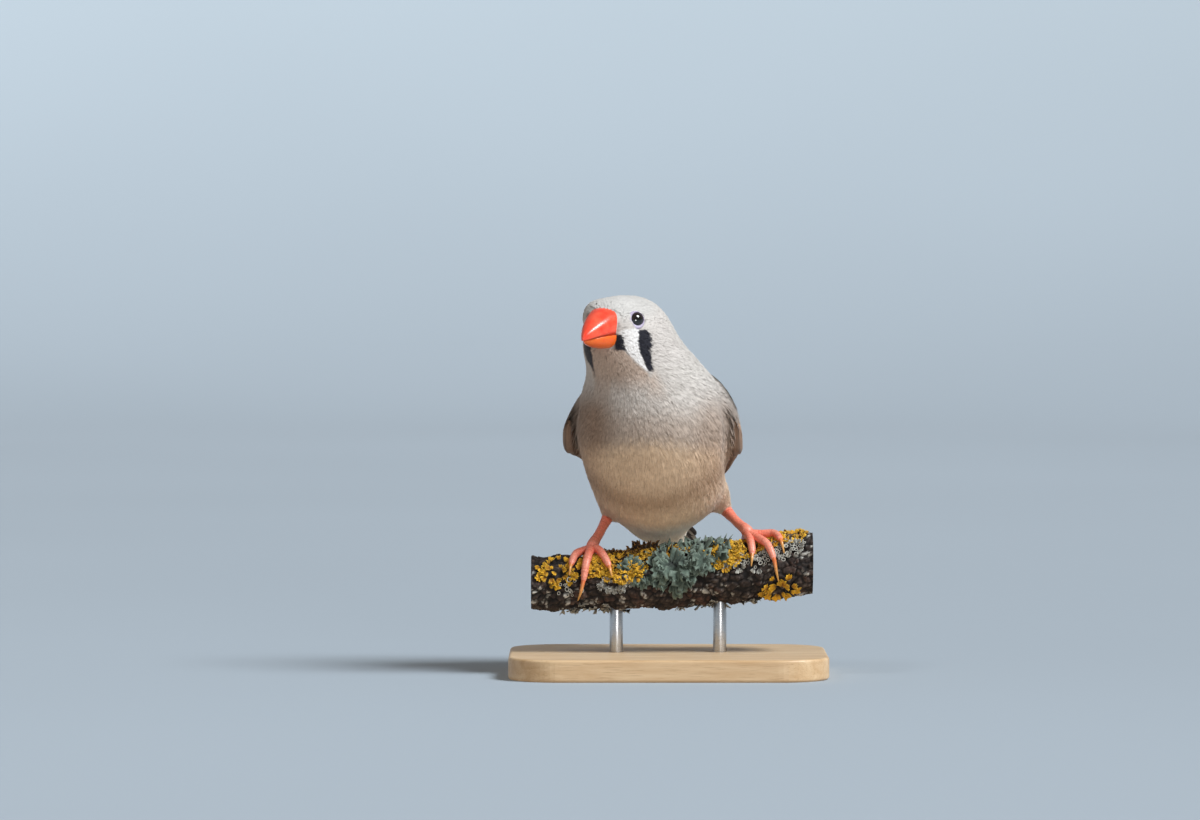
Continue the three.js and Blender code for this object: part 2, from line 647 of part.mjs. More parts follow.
function baseSolid() {
  const [half, deep, corner] = [BASE.length / 2 - BASE.bevel, BASE.width / 2 - BASE.bevel, BASE.corner];
  const outline = new THREE.Shape();
  outline.moveTo(half, -deep + corner);
  outline.lineTo(half, deep - corner);
  outline.absarc(half - corner, deep - corner, corner, 0, Math.PI / 2);
  outline.absarc(-half + corner, deep - corner, corner, Math.PI / 2, Math.PI);
  outline.absarc(-half + corner, -deep + corner, corner, Math.PI, 1.5 * Math.PI);
  outline.absarc(half - corner, -deep + corner, corner, 1.5 * Math.PI, 2 * Math.PI);
  const plain = new THREE.ExtrudeGeometry(outline, {
    depth: BASE.thickness - 2 * BASE.bevel,
    bevelThickness: BASE.bevel,
    bevelSize: BASE.bevel,
    bevelSegments: 1,
    curveSegments: 5,
  });
  return solid(plain.translate(0, 0, BASE.bevel - PERCH_HEIGHT));
}

const RODS = { left: -ROD.offset, right: ROD.offset };
const holes = joined(Object.values(RODS).map((x) => rodSolid(x, TOUCH_GAP)));
const stand = {
  perch_branch: perch().subtract(holes),
  stand_base: baseSolid().subtract(holes),
  stand_rod_left: rodSolid(RODS.left, 0),
  stand_rod_right: rodSolid(RODS.right, 0),
};

// Finishes
const finish = (color, roughness, metalness = 0) =>
  new THREE.MeshStandardMaterial({ color, roughness, metalness });
const FINISHES = {
  head: finish(0xb9b4ad, 0.9),
  neck: finish(0xb5aea6, 0.9),
  torso: finish(0xc9b79f, 0.9),
  tail: finish(0x4a413c, 0.85),
  wing: finish(0x8a7a6c, 0.85),
  thigh: finish(0xc7b8a4, 0.9),
  bill_upper: finish(0xe8421f, 0.35),
  bill_lower: finish(0xf2661c, 0.35),
  eye: finish(0x14100f, 0.08),
  shank: finish(0xe2674b, 0.5),
  toe: finish(0xe2674b, 0.5),
  claw: finish(0xc98a45, 0.4),
  perch: finish(0x5b5048, 0.95),
  stand: finish(0xcbb48e, 0.55),
  stand_rod: finish(0xb8babc, 0.3, 1),
};

const model = new THREE.Group();
const bird = new THREE.Group();
bird.position.set(BIRD.x, 0, PERCH_HEIGHT);
bird.rotation.z = BIRD.heading;
model.add(bird);
const mount = new THREE.Group();
mount.position.z = PERCH_HEIGHT;
model.add(mount);

function place(group, name, made, finishName) {
  const mesh = new THREE.Mesh(geometryOf(made), FINISHES[finishName]);
  mesh.name = name;
  group.add(mesh);
}

place(bird, "head", head, "head");
place(bird, "neck", neck, "neck");
place(bird, "torso", torso, "torso");
place(bird, "tail", tail, "tail");
place(bird, "bill_upper", billUpper, "bill_upper");
place(bird, "bill_lower", billLower, "bill_lower");
["left", "right"].forEach((side) => {
  place(bird, `eye_${side}`, eyes[side].globe, "eye");
  const wingSolid = wing(side === "left" ? 1 : -1);
  place(bird, `wing_${side}`, wingSolid.subtract(sideOf(NECK_CUT, -HALF_GAP)), "wing");
  Object.entries(legs[side].parts).forEach(([name, made]) => {
    place(bird, `${name}_${side}`, made, name.split("_")[0]);
  });
});
Object.entries(stand).forEach(([name, made]) => {
  const kind = name.startsWith("stand_rod") ? "stand_rod" : name.split("_")[0];
  place(mount, name, made, kind);
});

export default model;
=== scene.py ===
import math

import bmesh
import bpy
import numpy as np
from mathutils import Matrix, Vector, kdtree, noise


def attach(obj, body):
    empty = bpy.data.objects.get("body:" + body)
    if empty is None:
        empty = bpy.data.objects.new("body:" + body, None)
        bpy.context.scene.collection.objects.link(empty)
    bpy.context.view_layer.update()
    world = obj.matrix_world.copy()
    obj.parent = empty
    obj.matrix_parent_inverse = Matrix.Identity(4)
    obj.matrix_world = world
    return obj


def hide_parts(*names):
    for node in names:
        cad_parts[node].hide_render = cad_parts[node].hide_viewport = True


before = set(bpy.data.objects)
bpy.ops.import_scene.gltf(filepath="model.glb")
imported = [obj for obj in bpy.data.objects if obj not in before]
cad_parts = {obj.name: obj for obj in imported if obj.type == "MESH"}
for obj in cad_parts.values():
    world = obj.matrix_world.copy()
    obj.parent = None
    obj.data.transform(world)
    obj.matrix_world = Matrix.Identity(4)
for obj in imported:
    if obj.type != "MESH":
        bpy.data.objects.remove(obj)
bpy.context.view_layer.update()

# Camera: a long lens nearly level with the perch, looking very slightly down, as from a hide. It
# takes in 324 mm across at the bird, which stands small and a little right of the middle.
CAMERA_AIM = Vector((-0.0184, 0, 0.0715))
CAMERA_TILT = math.radians(1.8)
CAMERA_AWAY = 1.6
camera_lens = bpy.data.cameras.new("camera")
camera_lens.sensor_width = 36
camera_lens.lens = 177.6
camera_lens.clip_start, camera_lens.clip_end = 0.05, 40
camera = bpy.data.objects.new("camera", camera_lens)
bpy.context.scene.collection.objects.link(camera)
towards_camera = Vector((0, -math.cos(CAMERA_TILT), math.sin(CAMERA_TILT)))
camera.location = CAMERA_AIM + CAMERA_AWAY * towards_camera
camera.rotation_euler = towards_camera.to_track_quat("Z", "Y").to_euler()
bpy.context.scene.camera = camera
bpy.context.scene.view_settings.view_transform = "Standard"


# Studio floor: one pale sheet, flat under the stand and swept up all round it into a pale
# blue-grey wall, so no edge shows behind the bird from any side.
def from_screen(red, green, blue):
    """A colour given in screen values, 0 to 255, as the linear one that a shader takes."""
    screen = np.array([red, green, blue], float) / 255
    return np.where(screen <= 0.04045, screen / 12.92, ((screen + 0.055) / 1.055) ** 2.4)


def add_node(owner, kind, settings=None, **sockets):
    """A node with its settings and its sockets, each a value or another node's output."""
    tree = owner.node_tree if hasattr(owner, "node_tree") else owner
    node = tree.nodes.new(kind)
    for name, value in (settings or {}).items():
        setattr(node, name, value)
    for name, value in sockets.items():
        key = int(name[1:]) if name[0] == "_" else name.replace("_", " ")
        if isinstance(value, bpy.types.NodeSocket):
            tree.links.new(value, node.inputs[key])
        else:
            node.inputs[key].default_value = value
    return node


def new_finish(name, **shader_values):
    """A material with its Principled shader's even values set, and that shader."""
    material = bpy.data.materials.new(name)
    material.use_nodes = True
    shader = material.node_tree.nodes["Principled BSDF"]
    for key, value in shader_values.items():
        shader.inputs[key.replace("_", " ")].default_value = value
    return material, shader


def rgba(colour):
    return (*[float(c) for c in colour], 1.0)


def new_group(name, inputs, outputs):
    """A shader node group and its inner ends. How many numbers a socket holds tells its kind."""
    kinds = {1: "NodeSocketFloat", 3: "NodeSocketVector", 4: "NodeSocketColor"}
    group = bpy.data.node_groups.new(name, "ShaderNodeTree")
    for label, value in inputs.items():
        socket = group.interface.new_socket(label, in_out="INPUT", socket_type=kinds[np.size(value)])
        socket.default_value = value
    for label, numbers in outputs.items():
        group.interface.new_socket(label, in_out="OUTPUT", socket_type=kinds[numbers])
    return group, group.nodes.new("NodeGroupInput").outputs, group.nodes.new("NodeGroupOutput").inputs


# The mottled group: a colour made lighter and darker by noise, whose own grain it puts out too
GRAIN_INPUTS = {
    "Vector": (0.0, 0.0, 0.0), "Scale": 1.0, "Detail": 2.0, "Roughness": 0.5, "Distortion": 0.0,
    "Low": 0.3, "High": 0.7,
}


def add_grain(group, given):
    """The noise inside a group, by the group's own first inputs."""
    names = ("Vector", "Scale", "Detail", "Roughness", "Distortion")
    return add_node(group, "ShaderNodeTexNoise", **{name: given[name] for name in names})


mottled, given, result = new_group(
    "mottled", {"Color": (1, 1, 1, 1), **GRAIN_INPUTS, "Dark": 0.9, "Light": 1.1}, {"Color": 4, "Grain": 1}
)
grain = add_grain(mottled, given)
level = add_node(
    mottled, "ShaderNodeMapRange", _0=grain.outputs[0], _1=given["Low"], _2=given["High"],
    _3=given["Dark"], _4=given["Light"],
)
tint = add_node(
    mottled, "ShaderNodeMix", {"data_type": "RGBA", "blend_type": "MULTIPLY"}, _0=1.0,
    _6=given["Color"], _7=level.outputs[0],
)
mottled.links.new(tint.outputs[2], result["Color"])
mottled.links.new(grain.outputs[0], result["Grain"])


def add_mottle(material, colour, vector, **values):
    """The mottled group in a material, over a colour and along a vector."""
    return add_node(
        material, "ShaderNodeGroup", {"node_tree": mottled}, Color=colour, Vector=vector, **values
    )


FLOOR_FLAT, SWEEP, SWEEP_END = 1.9, 1.5, math.radians(56)
PAPER_NEAR, PAPER_HIGH, PAPER_TURN = from_screen(163, 176, 187), from_screen(184, 199, 210), 0.3
sheet = bmesh.new()
profile = [(0, 0), (0.4, 0), (FLOOR_FLAT, 0)]
profile += [
    (FLOOR_FLAT + SWEEP * math.sin(a), SWEEP * (1 - math.cos(a)))
    for a in np.linspace(0, SWEEP_END, 25)[1:]
]
line = [sheet.verts.new((r, 0, z)) for r, z in profile]
line += [sheet.edges.new(pair) for pair in zip(line, line[1:])]
bmesh.ops.spin(
    sheet, geom=line, cent=(0, 0, 0), axis=(0, 0, 1), angle=2 * math.pi, steps=96, use_merge=True
)
bmesh.ops.remove_doubles(sheet, verts=sheet.verts, dist=1e-5)
backdrop_mesh = bpy.data.meshes.new("studio_sweep")
sheet.to_mesh(backdrop_mesh)
sheet.free()
backdrop_mesh.shade_smooth()
backdrop = bpy.data.objects.new("studio_sweep", backdrop_mesh)
bpy.context.scene.collection.objects.link(backdrop)
paper, shader = new_finish("studio_paper", Roughness=0.9)
where = add_node(paper, "ShaderNodeTexCoord")
height = add_node(paper, "ShaderNodeSeparateXYZ", _0=where.outputs["Object"])
rise = add_node(paper, "ShaderNodeMapRange", _0=height.outputs["Z"], _1=0.0, _2=PAPER_TURN)
blend = add_node(
    paper, "ShaderNodeMix", {"data_type": "RGBA"}, _0=rise.outputs[0],
    _6=rgba(PAPER_NEAR), _7=rgba(PAPER_HIGH),
)
cloud = add_mottle(
    paper, blend.outputs[2], where.outputs["Object"], Scale=1.1, Detail=2.0, Dark=0.96, Light=1.03
)
paper.node_tree.links.new(cloud.outputs["Color"], shader.inputs["Base Color"])
backdrop_mesh.materials.append(paper)
backdrop.visible_diffuse = False


# Studio lights: one broad sun from high on the right, a weak low lamp in front, a small one from the
# left for the glint in the eye, and soft light from all round, strongest from below as off pale ground.
def aimed(name, kind, at, aim, power, colour):
    """A lamp placed in metres and turned towards its aim."""
    lamp = bpy.data.lights.new(name, kind)
    lamp.energy, lamp.color = power, colour
    holder = bpy.data.objects.new(name, lamp)
    bpy.context.scene.collection.objects.link(holder)
    holder.location = at
    holder.rotation_euler = (Vector(at) - Vector(aim)).to_track_quat("Z", "Y").to_euler()
    return lamp


key = aimed("light_key", "SUN", at=(0.75, -0.42, 0.92), aim=(0, 0, 0), power=3.7, colour=(0.94, 0.97, 1.0))
key.angle = math.radians(24)
fill = aimed("light_fill", "AREA", at=(0.5, -1.8, 0.10), aim=(0, 0, 0.05), power=7.8, colour=(1, 0.98, 0.95))
fill.shape, fill.size = "DISK", 0.4
glint = aimed(
    "light_glint", "AREA", at=(-0.8, -0.45, 1.2), aim=(0, 0, 0.09), power=2.2, colour=(0.95, 0.98, 1)
)
glint.shape, glint.size = "DISK", 0.26
AIR_COLOUR, AIR_BELOW, AIR_ABOVE = (1.0, 0.90, 0.82, 1), 0.58, 0.22
air = bpy.data.worlds.new("studio_air")
bpy.context.scene.world = air
air.use_nodes = True
air_light = air.node_tree.nodes["Background"]
air_light.inputs["Color"].default_value = AIR_COLOUR
way = add_node(air, "ShaderNodeTexCoord")
height = add_node(air, "ShaderNodeSeparateXYZ", _0=way.outputs["Generated"])
glow = add_node(
    air, "ShaderNodeMapRange", _0=height.outputs["Z"], _1=-0.55, _2=0.1, _3=AIR_BELOW, _4=AIR_ABOVE
)
air.node_tree.links.new(glow.outputs[0], air_light.inputs["Strength"])


# Skin: the bird's whole body under its feathers, one soft closed form from forehead to tail root
# and down both thighs. It lies a feather's depth inside the finished outline.
MM = 0.001
BIRD_PLACE = np.array([-4.2, 0, 25.8])
BIRD_TURN = np.array(Matrix.Rotation(math.radians(-98), 3, "Z"))
HEAD_CENTRE = np.array([8, -6.8, 67.1])
HEAD_TURN = np.array(
    Matrix.Rotation(math.radians(-21), 3, "Z")
    @ Matrix.Rotation(math.radians(12), 3, "Y")
    @ Matrix.Rotation(math.radians(-9), 3, "X")
)


def from_bird(places):
    """Millimetres in the bird's own frame as metres in the model's."""
    return (np.asarray(places) @ BIRD_TURN.T + BIRD_PLACE) * MM


def into_bird(places):
    return (np.asarray(places, float) - BIRD_PLACE) @ BIRD_TURN


def into_head(places):
    return (places - HEAD_CENTRE) @ HEAD_TURN


def from_head(places):
    return np.asarray(places, float) @ HEAD_TURN.T + HEAD_CENTRE


# Each mass: centre, half lengths along, across and deep, pitch of its long axis, blend width
TRUNK_MASSES = [
    ([1, 0.2, 41], [19, 21.2, 18.5], 60, 6),
    ([-5, 1.0, 29.5], [18, 19.0, 17], 50, 6),
    ([-8, 0, 45], [17.5, 17.5, 13], 58, 6),
    ([4, -3, 56.5], [12.5, 12.5, 13.5], 70, 9),
    ([-19, 0, 25], [15, 11, 9], 48, 8),
    ([-20.5, -0.4, 16.5], [15, 6.2, 6.8], 40, 6),
    ([-12, -0.3, 15.6], [9, 7.4, 5.2], 20, 6),
    ([-31, 0, 11.2], [14, 4.2, 3.6], 42, 5),
]
HEAD_MASSES = [
    ([-2.5, 0.3, -0.9], [12.2, 10.7, 9.9], 0, 3),
    ([4.6, 0, 2.9], [8.2, 7.4, 7.4], 0, 4),
    ([1.5, 0.4, -3.8], [9.5, 9.7, 7], 0, 4),
    ([6, 0, -3.2], [6, 5.6, 4.6], 0, 4),
    ([8.6, 0, 2.4], [3.5, 5.9, 5.6], 0, 3),
]
RAISED_BROW = [([7.5, -4.8, 6.1], [2.4, 2.2, 2.2], 0, 5)]
HEAD_BLEND = 6
HIPS = {"right": [-12.8, 6.5, 26], "left": [9.8, 6.5, 27]}
ANKLES = {"right": [-15.8, 10.5, 17.3], "left": [15.4, 11, 18.6]}
THIGH_RADII = [3.4, 4.1, 4.4, 3.6, 2.2]
THIGH_BLEND = 3.5


def blended(a, b, width):
    near = np.maximum(width - np.abs(a - b), 0) / width
    return np.minimum(a, b) - near * near * width / 4


def pitched(pitch):
    return np.array(Matrix.Rotation(math.radians(pitch), 3, "Y"))


def mass_of(parts, places):
    depth = np.full(len(places), 1e6)
    for centre, half, pitch, width in parts:
        local = ((places - np.array(centre)) @ pitched(pitch).T) / np.array(half)
        reach = np.maximum(np.linalg.norm(local, axis=1), 1e-6)
        slope = np.maximum(np.linalg.norm(local / np.array(half), axis=1), 1e-6)
        depth = blended(depth, reach * (reach - 1) / slope, width)
    return depth


def on_perch_frame(place):
    """A place beside the perch, right, back and up from its axis, in the bird's own frame."""
    return into_bird(np.array(place, float) + [0, 0, BIRD_PLACE[2]])


def thigh_mass(places, side):
    hip, ankle = on_perch_frame(HIPS[side]), on_perch_frame(ANKLES[side])
    run = ankle - hip
    share = np.clip((places - hip) @ run / (run @ run), 0, 1)
    radius = np.interp(share, np.linspace(0, 1, len(THIGH_RADII)), THIGH_RADII)
    return np.linalg.norm(places - hip - share[:, None] * run, axis=1) - radius


# The fold in the side under each wing's lower edge: its line on the left, and its depth each side
WING_FOLD = np.array(
    [(4.0, 21.0, 45.0), (3.0, 21.8, 39.0), (1.6, 21.6, 34.0), (-2.5, 21.0, 30.0), (-9.0, 19.8, 27.0)]
)
FOLD_DEPTH, FOLD_WIDTH = {"right": 0.9, "left": 1.7}, 2.8


def wing_fold(places, side):
    """How far the plumage sinks under the wing at each place."""
    line = WING_FOLD * [1, 1 if side == "left" else -1, 1]
    near = np.full(len(places), 1e6)
    for a, b in zip(line, line[1:]):
        share = np.clip((places - a) @ (b - a) / ((b - a) @ (b - a)), 0, 1)
        near = np.minimum(near, ((places - a - share[:, None] * (b - a)) ** 2).sum(axis=1))
    return FOLD_DEPTH[side] * np.exp(-near / FOLD_WIDTH**2)


def plumage(places):
    """How far outside the finished plumage each place is, in millimetres."""
    depth = blended(
        mass_of(TRUNK_MASSES, places), mass_of(HEAD_MASSES + RAISED_BROW, into_head(places)), HEAD_BLEND
    )
    for side in HIPS:
        depth = blended(depth, thigh_mass(places, side), THIGH_BLEND)
    return depth + wing_fold(places, "left") + wing_fold(places, "right")


def slope_of(field, places, step=0.15):
    slope = np.stack(
        [field(places + step * axis) - field(places - step * axis) for axis in np.eye(3)], axis=1
    )
    return slope / (2 * step)


def unit(vectors):
    return vectors / np.maximum(np.linalg.norm(vectors, axis=-1, keepdims=True), 1e-9)


def settle(places, level, rounds=4):
    """Places moved straight out or in until they lie at a level of the plumage, and the way out there."""
    for _ in range(rounds):
        slope = slope_of(plumage, places)
        steep = np.maximum((slope**2).sum(axis=1), 0.05)
        step = (plumage(places) - level) / steep
        places = places - slope * np.clip(step, -2.5, 2.5)[:, None]
    return places, unit(slope_of(plumage, places))


def smooth_step(value, low, high):
    share = np.clip((value - low) / (high - low), 0, 1)
    return share * share * (3 - 2 * share)


def mixed(a, b, share):
    return a + (b - a) * share[:, None]


BILL_ROOT = from_head([8.5, 0, 2.8])
COAT_DEPTH = (0.5, 1.1)


def coat_depth(places):
    """The feathers lie thinnest round the bill and thickest on the body."""
    near = np.linalg.norm(places - BILL_ROOT, axis=1)
    return COAT_DEPTH[0] + (COAT_DEPTH[1] - COAT_DEPTH[0]) * smooth_step(near, 5, 24)


# The hen's colours: pale grey head with a white patch before the eye between two black marks,
# grey breast, buff belly, cream vent, brown-grey back and black and white rump feathers,
# with painted shade in the belly's fold and on the lower breast's sides.
CROWN = from_screen(204, 203, 200)
CHEEK = from_screen(208, 204, 200)
PATCH = from_screen(248, 249, 250)
BLACK = from_screen(30, 31, 42)
THROAT = from_screen(196, 178, 164)
BREAST = from_screen(206, 202, 197)
BREAST_LOW = from_screen(190, 176, 164)
BREAST_SIDE_SHADE = from_screen(150, 126, 108)
BUFF = from_screen(228, 203, 174)
FLANK = from_screen(208, 178, 150)
CREAM = from_screen(255, 248, 230)
BELLY_FOLD_SHADE = from_screen(150, 120, 94)
BACK = from_screen(154, 136, 120)
NAPE = from_screen(208, 205, 200)
RUMP_DARK = from_screen(52, 47, 47)
RUMP_PALE = from_screen(232, 228, 220)


def markings(places, ways):
    """The plumage colour at places in the bird's frame, whose ways out are given."""
    head = into_head(places)
    side = np.where(head[:, 1] < 0.5, 2.3, 0.0)
    x, y, z = head[:, 0] - side, np.abs(head[:, 1] - 0.3), head[:, 2]
    height = places[:, 2]

    # Breast, belly, flanks and vent, from above downwards
    colour = np.tile(BREAST, (len(places), 1))
    low = smooth_step(-height, -50, -40)
    colour = mixed(colour, BREAST_LOW, low)
    # Painted shade: the lower breast's sides darkened brown, fully on the bird's right and half on its left
    beside = smooth_step(-places[:, 1], 5, 14) + 0.5 * smooth_step(places[:, 1], 11, 18)
    colour = mixed(colour, BREAST_SIDE_SHADE, smooth_step(-height, -54, -45) * beside * 0.9)
    sag = height + 0.012 * (places[:, 1] - 1) ** 2
    buff = smooth_step(-sag, -40.5, -34.0)
    colour = mixed(colour, BUFF, buff)
    flank = smooth_step(np.abs(places[:, 1]), 9, 18) * smooth_step(-height, -40, -32)
    colour = mixed(colour, FLANK, flank * 0.7)
    # Painted shade: a darker warm band across the front of the belly, where it folds in above the vent
    fold = np.exp(-(((height + 0.25 * places[:, 0] - 0.02 * places[:, 1] ** 2 - 23.0) / 3.9) ** 2))
    colour = mixed(colour, BELLY_FOLD_SHADE, fold * 0.62 * smooth_step(places[:, 0], -14, -4))
    vent = smooth_step(-(height + 0.35 * places[:, 0]), -17, -11)
    colour = mixed(colour, CREAM, vent)

    # Back and barred rump
    dorsal = smooth_step(ways @ np.array([-0.86, 0, 0.5]), 0.3, 0.72)
    dorsal *= smooth_step(-(height - 0.2 * places[:, 0]), -71, -60)
    colour = mixed(colour, BACK, dorsal)
    rump = smooth_step(ways @ np.array([-0.86, 0, 0.5]), 0.22, 0.5) * smooth_step(-places[:, 0], 25, 30)
    bars = smooth_step(np.sin(places[:, 0] * 1.35 + 0.9 * np.abs(places[:, 1])), -0.2, 0.2)
    colour = mixed(colour, RUMP_DARK, rump)
    colour = mixed(colour, RUMP_PALE, rump * bars)

    # Neck, crown and cheeks
    neck = smooth_step(height, 50, 57)
    colour = mixed(colour, NAPE, neck * (1 - dorsal) * smooth_step(-x, -7, 0))
    crown = smooth_step(z - 0.1 * np.abs(x), 4.2, 7.5)
    on_head = smooth_step(z, -9, -4) * smooth_step(13.5 - np.abs(x), -2, 2)
    colour = mixed(colour, CHEEK, on_head)
    colour = mixed(colour, CROWN, crown)
    behind = smooth_step(-x, 2, 9) * on_head
    colour = mixed(colour, NAPE, behind * 0.8)

    # Face: the white patch lies between front and patch, and the tear stripe between back and front
    front = np.interp(z, [-12.5, -7.3, -4.8, -2.2, 0.8, 3.2], [8.8, 8.3, 8.2, 8.3, 7.6, 6.4])
    back = np.interp(
        z, [-12.5, -8.2, -6.9, -4.9, -2.9, -0.3, 1.6, 3.0], [8.2, 7.9, 7.0, 6.7, 6.0, 4.3, 3.5, 4.4]
    )
    patch = np.interp(
        z, [-7.3, -5.3, -2.9, -1.1, 1.7, 3.1, 4.1], [8.4, 9.4, 10.3, 10.8, 10.8, 11.6, 10.8]
    )
    front = front + np.where(side > 0, 1.7, 0.0)
    patch = patch - np.where(side > 0, 0.9, 0.0)
    beside = smooth_step(y, 2.6, 3.6) * smooth_step(-y, -13.5, -12.5)
    throat = smooth_step(x - patch, -0.1, 0.5) * smooth_step(-z, 1.2, 2.2) * smooth_step(z, -16, -8)
    throat = np.maximum(throat, smooth_step(-z, 1.2, 3.0) * (1 - beside) * smooth_step(x, 6, 9))
    colour = mixed(colour, THROAT, throat * smooth_step(height, 46, 57))
    white = smooth_step(x - front, -0.2, 0.1) * smooth_step(patch - x, -0.1, 0.2)
    white *= smooth_step(4.2 - z, 0, 0.7) * smooth_step(z, -7.6, -6.6) * beside
    colour = mixed(colour, PATCH, white)
    malar = smooth_step(x - patch, -0.15, 0.1) * smooth_step(2.7 - z, 0, 0.4)
    malar *= smooth_step(z, -2.2, -1.5) * beside
    colour = mixed(colour, BLACK, malar)
    lowest = np.where(side > 0, -12.5, -7.6)
    tear = smooth_step(front - x, -0.1, 0.15) * smooth_step(x - back, -0.1, 0.25)
    tear *= smooth_step(3.3 - z, 0, 0.35) * smooth_step(z - lowest, 0, 0.6) * beside
    return mixed(colour, BLACK, tear)


PAINT = "paint"


def painted(mesh, colours):
    """Stores each point's colour on the mesh, where its material reads it."""
    layer = mesh.color_attributes.new(PAINT, "FLOAT_COLOR", "POINT")
    layer.data.foreach_set("color", np.c_[colours, np.ones(len(colours))].astype(np.float32).ravel())


def add_relief(material, shader, height, strength, depth):
    """Small relief on a finish, from a height that changes over the surface."""
    bump = add_node(material, "ShaderNodeBump", Strength=strength, Distance=depth, Height=height)
    material.node_tree.links.new(bump.outputs[0], shader.inputs["Normal"])
    return bump


def painted_finish(name, mottle, relief=None, **shader_values):
    """A finish in its piece's own painted colours, mottled by fine noise and, if wanted, raised by it."""
    material, shader = new_finish(name, **shader_values)
    paint = add_node(material, "ShaderNodeAttribute", {"attribute_name": PAINT})
    where = add_node(material, "ShaderNodeTexCoord")
    speckle = add_mottle(material, paint.outputs["Color"], where.outputs["Object"], **mottle)
    material.node_tree.links.new(speckle.outputs["Color"], shader.inputs["Base Color"])
    if relief:
        add_relief(material, shader, speckle.outputs["Grain"], *relief)
    return material


def mesh_places(mesh):
    places = np.empty(len(mesh.vertices) * 3, np.float32)
    mesh.vertices.foreach_get("co", places)
    return places.reshape(-1, 3).astype(float)


def put_places(mesh, places):
    mesh.vertices.foreach_set("co", np.ascontiguousarray(places, np.float32).ravel())
    mesh.update()


def add_piece(name, mesh, material, slot, *nodes):
    """A finished piece of the model that moves with its one body and stands for CAD nodes."""
    piece = bpy.data.objects.new(name, mesh)
    bpy.context.scene.collection.objects.link(piece)
    for finish in material if isinstance(material, list) else [material]:
        mesh.materials.append(finish)
    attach(piece, "root")
    if nodes:
        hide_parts(*nodes)
    return piece


balls = bmesh.new()
for centre, half, pitch, _ in TRUNK_MASSES:
    place = Matrix.Translation(centre) @ Matrix(pitched(pitch).T).to_4x4() @ Matrix.Diagonal((*half, 1))
    bmesh.ops.create_icosphere(balls, subdivisions=4, radius=1, matrix=place)
for centre, half, _, _ in HEAD_MASSES + RAISED_BROW:
    place = Matrix.Translation(from_head(centre)) @ Matrix(HEAD_TURN).to_4x4() @ Matrix.Diagonal((*half, 1))
    bmesh.ops.create_icosphere(balls, subdivisions=4, radius=1, matrix=place)
for side in HIPS:
    hip, ankle = on_perch_frame(HIPS[side]), on_perch_frame(ANKLES[side])
    for share, radius in zip(np.linspace(0, 1, 9), np.interp(np.linspace(0, 4, 9), range(5), THIGH_RADII)):
        place = Matrix.Translation(hip + share * (ankle - hip))
        bmesh.ops.create_icosphere(balls, subdivisions=3, radius=radius, matrix=place)
lump_mesh = bpy.data.meshes.new("lumps")
balls.to_mesh(lump_mesh)
balls.free()
lumps = bpy.data.objects.new("lumps", lump_mesh)
bpy.context.scene.collection.objects.link(lumps)
join = lumps.modifiers.new("join", "REMESH")
join.mode, join.voxel_size = "VOXEL", 0.7
skin_mesh = bpy.data.meshes.new_from_object(lumps.evaluated_get(bpy.context.evaluated_depsgraph_get()))
bpy.data.objects.remove(lumps)
skin_soft = bmesh.new()
skin_soft.from_mesh(skin_mesh)
for _ in range(4):
    bmesh.ops.smooth_vert(
        skin_soft, verts=skin_soft.verts, factor=0.5,
        use_axis_x=True, use_axis_y=True, use_axis_z=True,
    )
skin_soft.to_mesh(skin_mesh)
skin_soft.free()
skin_places = mesh_places(skin_mesh)
skin_places, skin_ways = settle(skin_places, -coat_depth(skin_places))
put_places(skin_mesh, from_bird(skin_places))
painted(skin_mesh, markings(skin_places, skin_ways))
skin_mesh.shade_smooth()
down = painted_finish(
    "skin_down", {"Scale": 2600.0, "Detail": 4.0, "Dark": 0.84, "Light": 1.0}, (0.6, 0.0002), Roughness=0.9
)
thighs = [f"thigh_{side}" for side in HIPS]
add_piece("skin", skin_mesh, down, "body_feathers", "head", "neck", "torso", *thighs)


# Eyes: dark globes set behind a raised ring of bare, pale lilac lid, wider below and behind.
# The places are worked out first, as the face feathers are parted round them.
EYE_AT = (5.9, 6.0)
GLOBE, SUNK, LID_RING, LID = 2.5, 1.8, 2.12, 0.36


def eye_place(side):
    """The lid's middle on the face, the way it looks and the globe's centre, in the bird's frame."""
    low, high = 0.0, 14.0
    for _ in range(30):
        middle = (low + high) / 2
        place = np.array([[EYE_AT[0], side * middle, EYE_AT[1]]])
        low, high = (low, middle) if mass_of(HEAD_MASSES, place)[0] > 0 else (middle, high)
    place = np.array([[EYE_AT[0], side * high, EYE_AT[1]]])
    looks = unit(slope_of(lambda p: mass_of(HEAD_MASSES, p), place))[0] + [0.3, 0, 0]
    looks = unit(looks)
    centre = place[0] - SUNK * looks
    return from_head(place)[0], looks @ HEAD_TURN.T, from_head(centre[None])[0]


EYES = {"left": eye_place(1), "right": eye_place(-1)}


# Body feathers: soft overlapping contour feathers, each a fan of fine barbs from one root, tiny
# on the face and long on the breast and belly. They grow in even spacing and lie towards the tail.
TAIL_TIP = np.array([-46, 0, -3.0])
rng = np.random.default_rng(29)


def scattered_on(mesh, count):
    """Even random places on a mesh, by area."""
    mesh.calc_loop_triangles()
    corners = np.empty(len(mesh.loop_triangles) * 3, np.int32)
    mesh.loop_triangles.foreach_get("vertices", corners)
    corners = skin_places[corners.reshape(-1, 3)]
    area = np.linalg.norm(np.cross(corners[:, 1] - corners[:, 0], corners[:, 2] - corners[:, 0]), axis=1)
    pick = rng.choice(len(corners), count, p=area / area.sum())
    a, b = rng.random(count), rng.random(count)
    turn = a + b > 1
    a[turn], b[turn] = 1 - a[turn], 1 - b[turn]
    chosen = corners[pick]
    return (
        chosen[:, 0]
        + a[:, None] * (chosen[:, 1] - chosen[:, 0])
        + b[:, None] * (chosen[:, 2] - chosen[:, 0])
    )


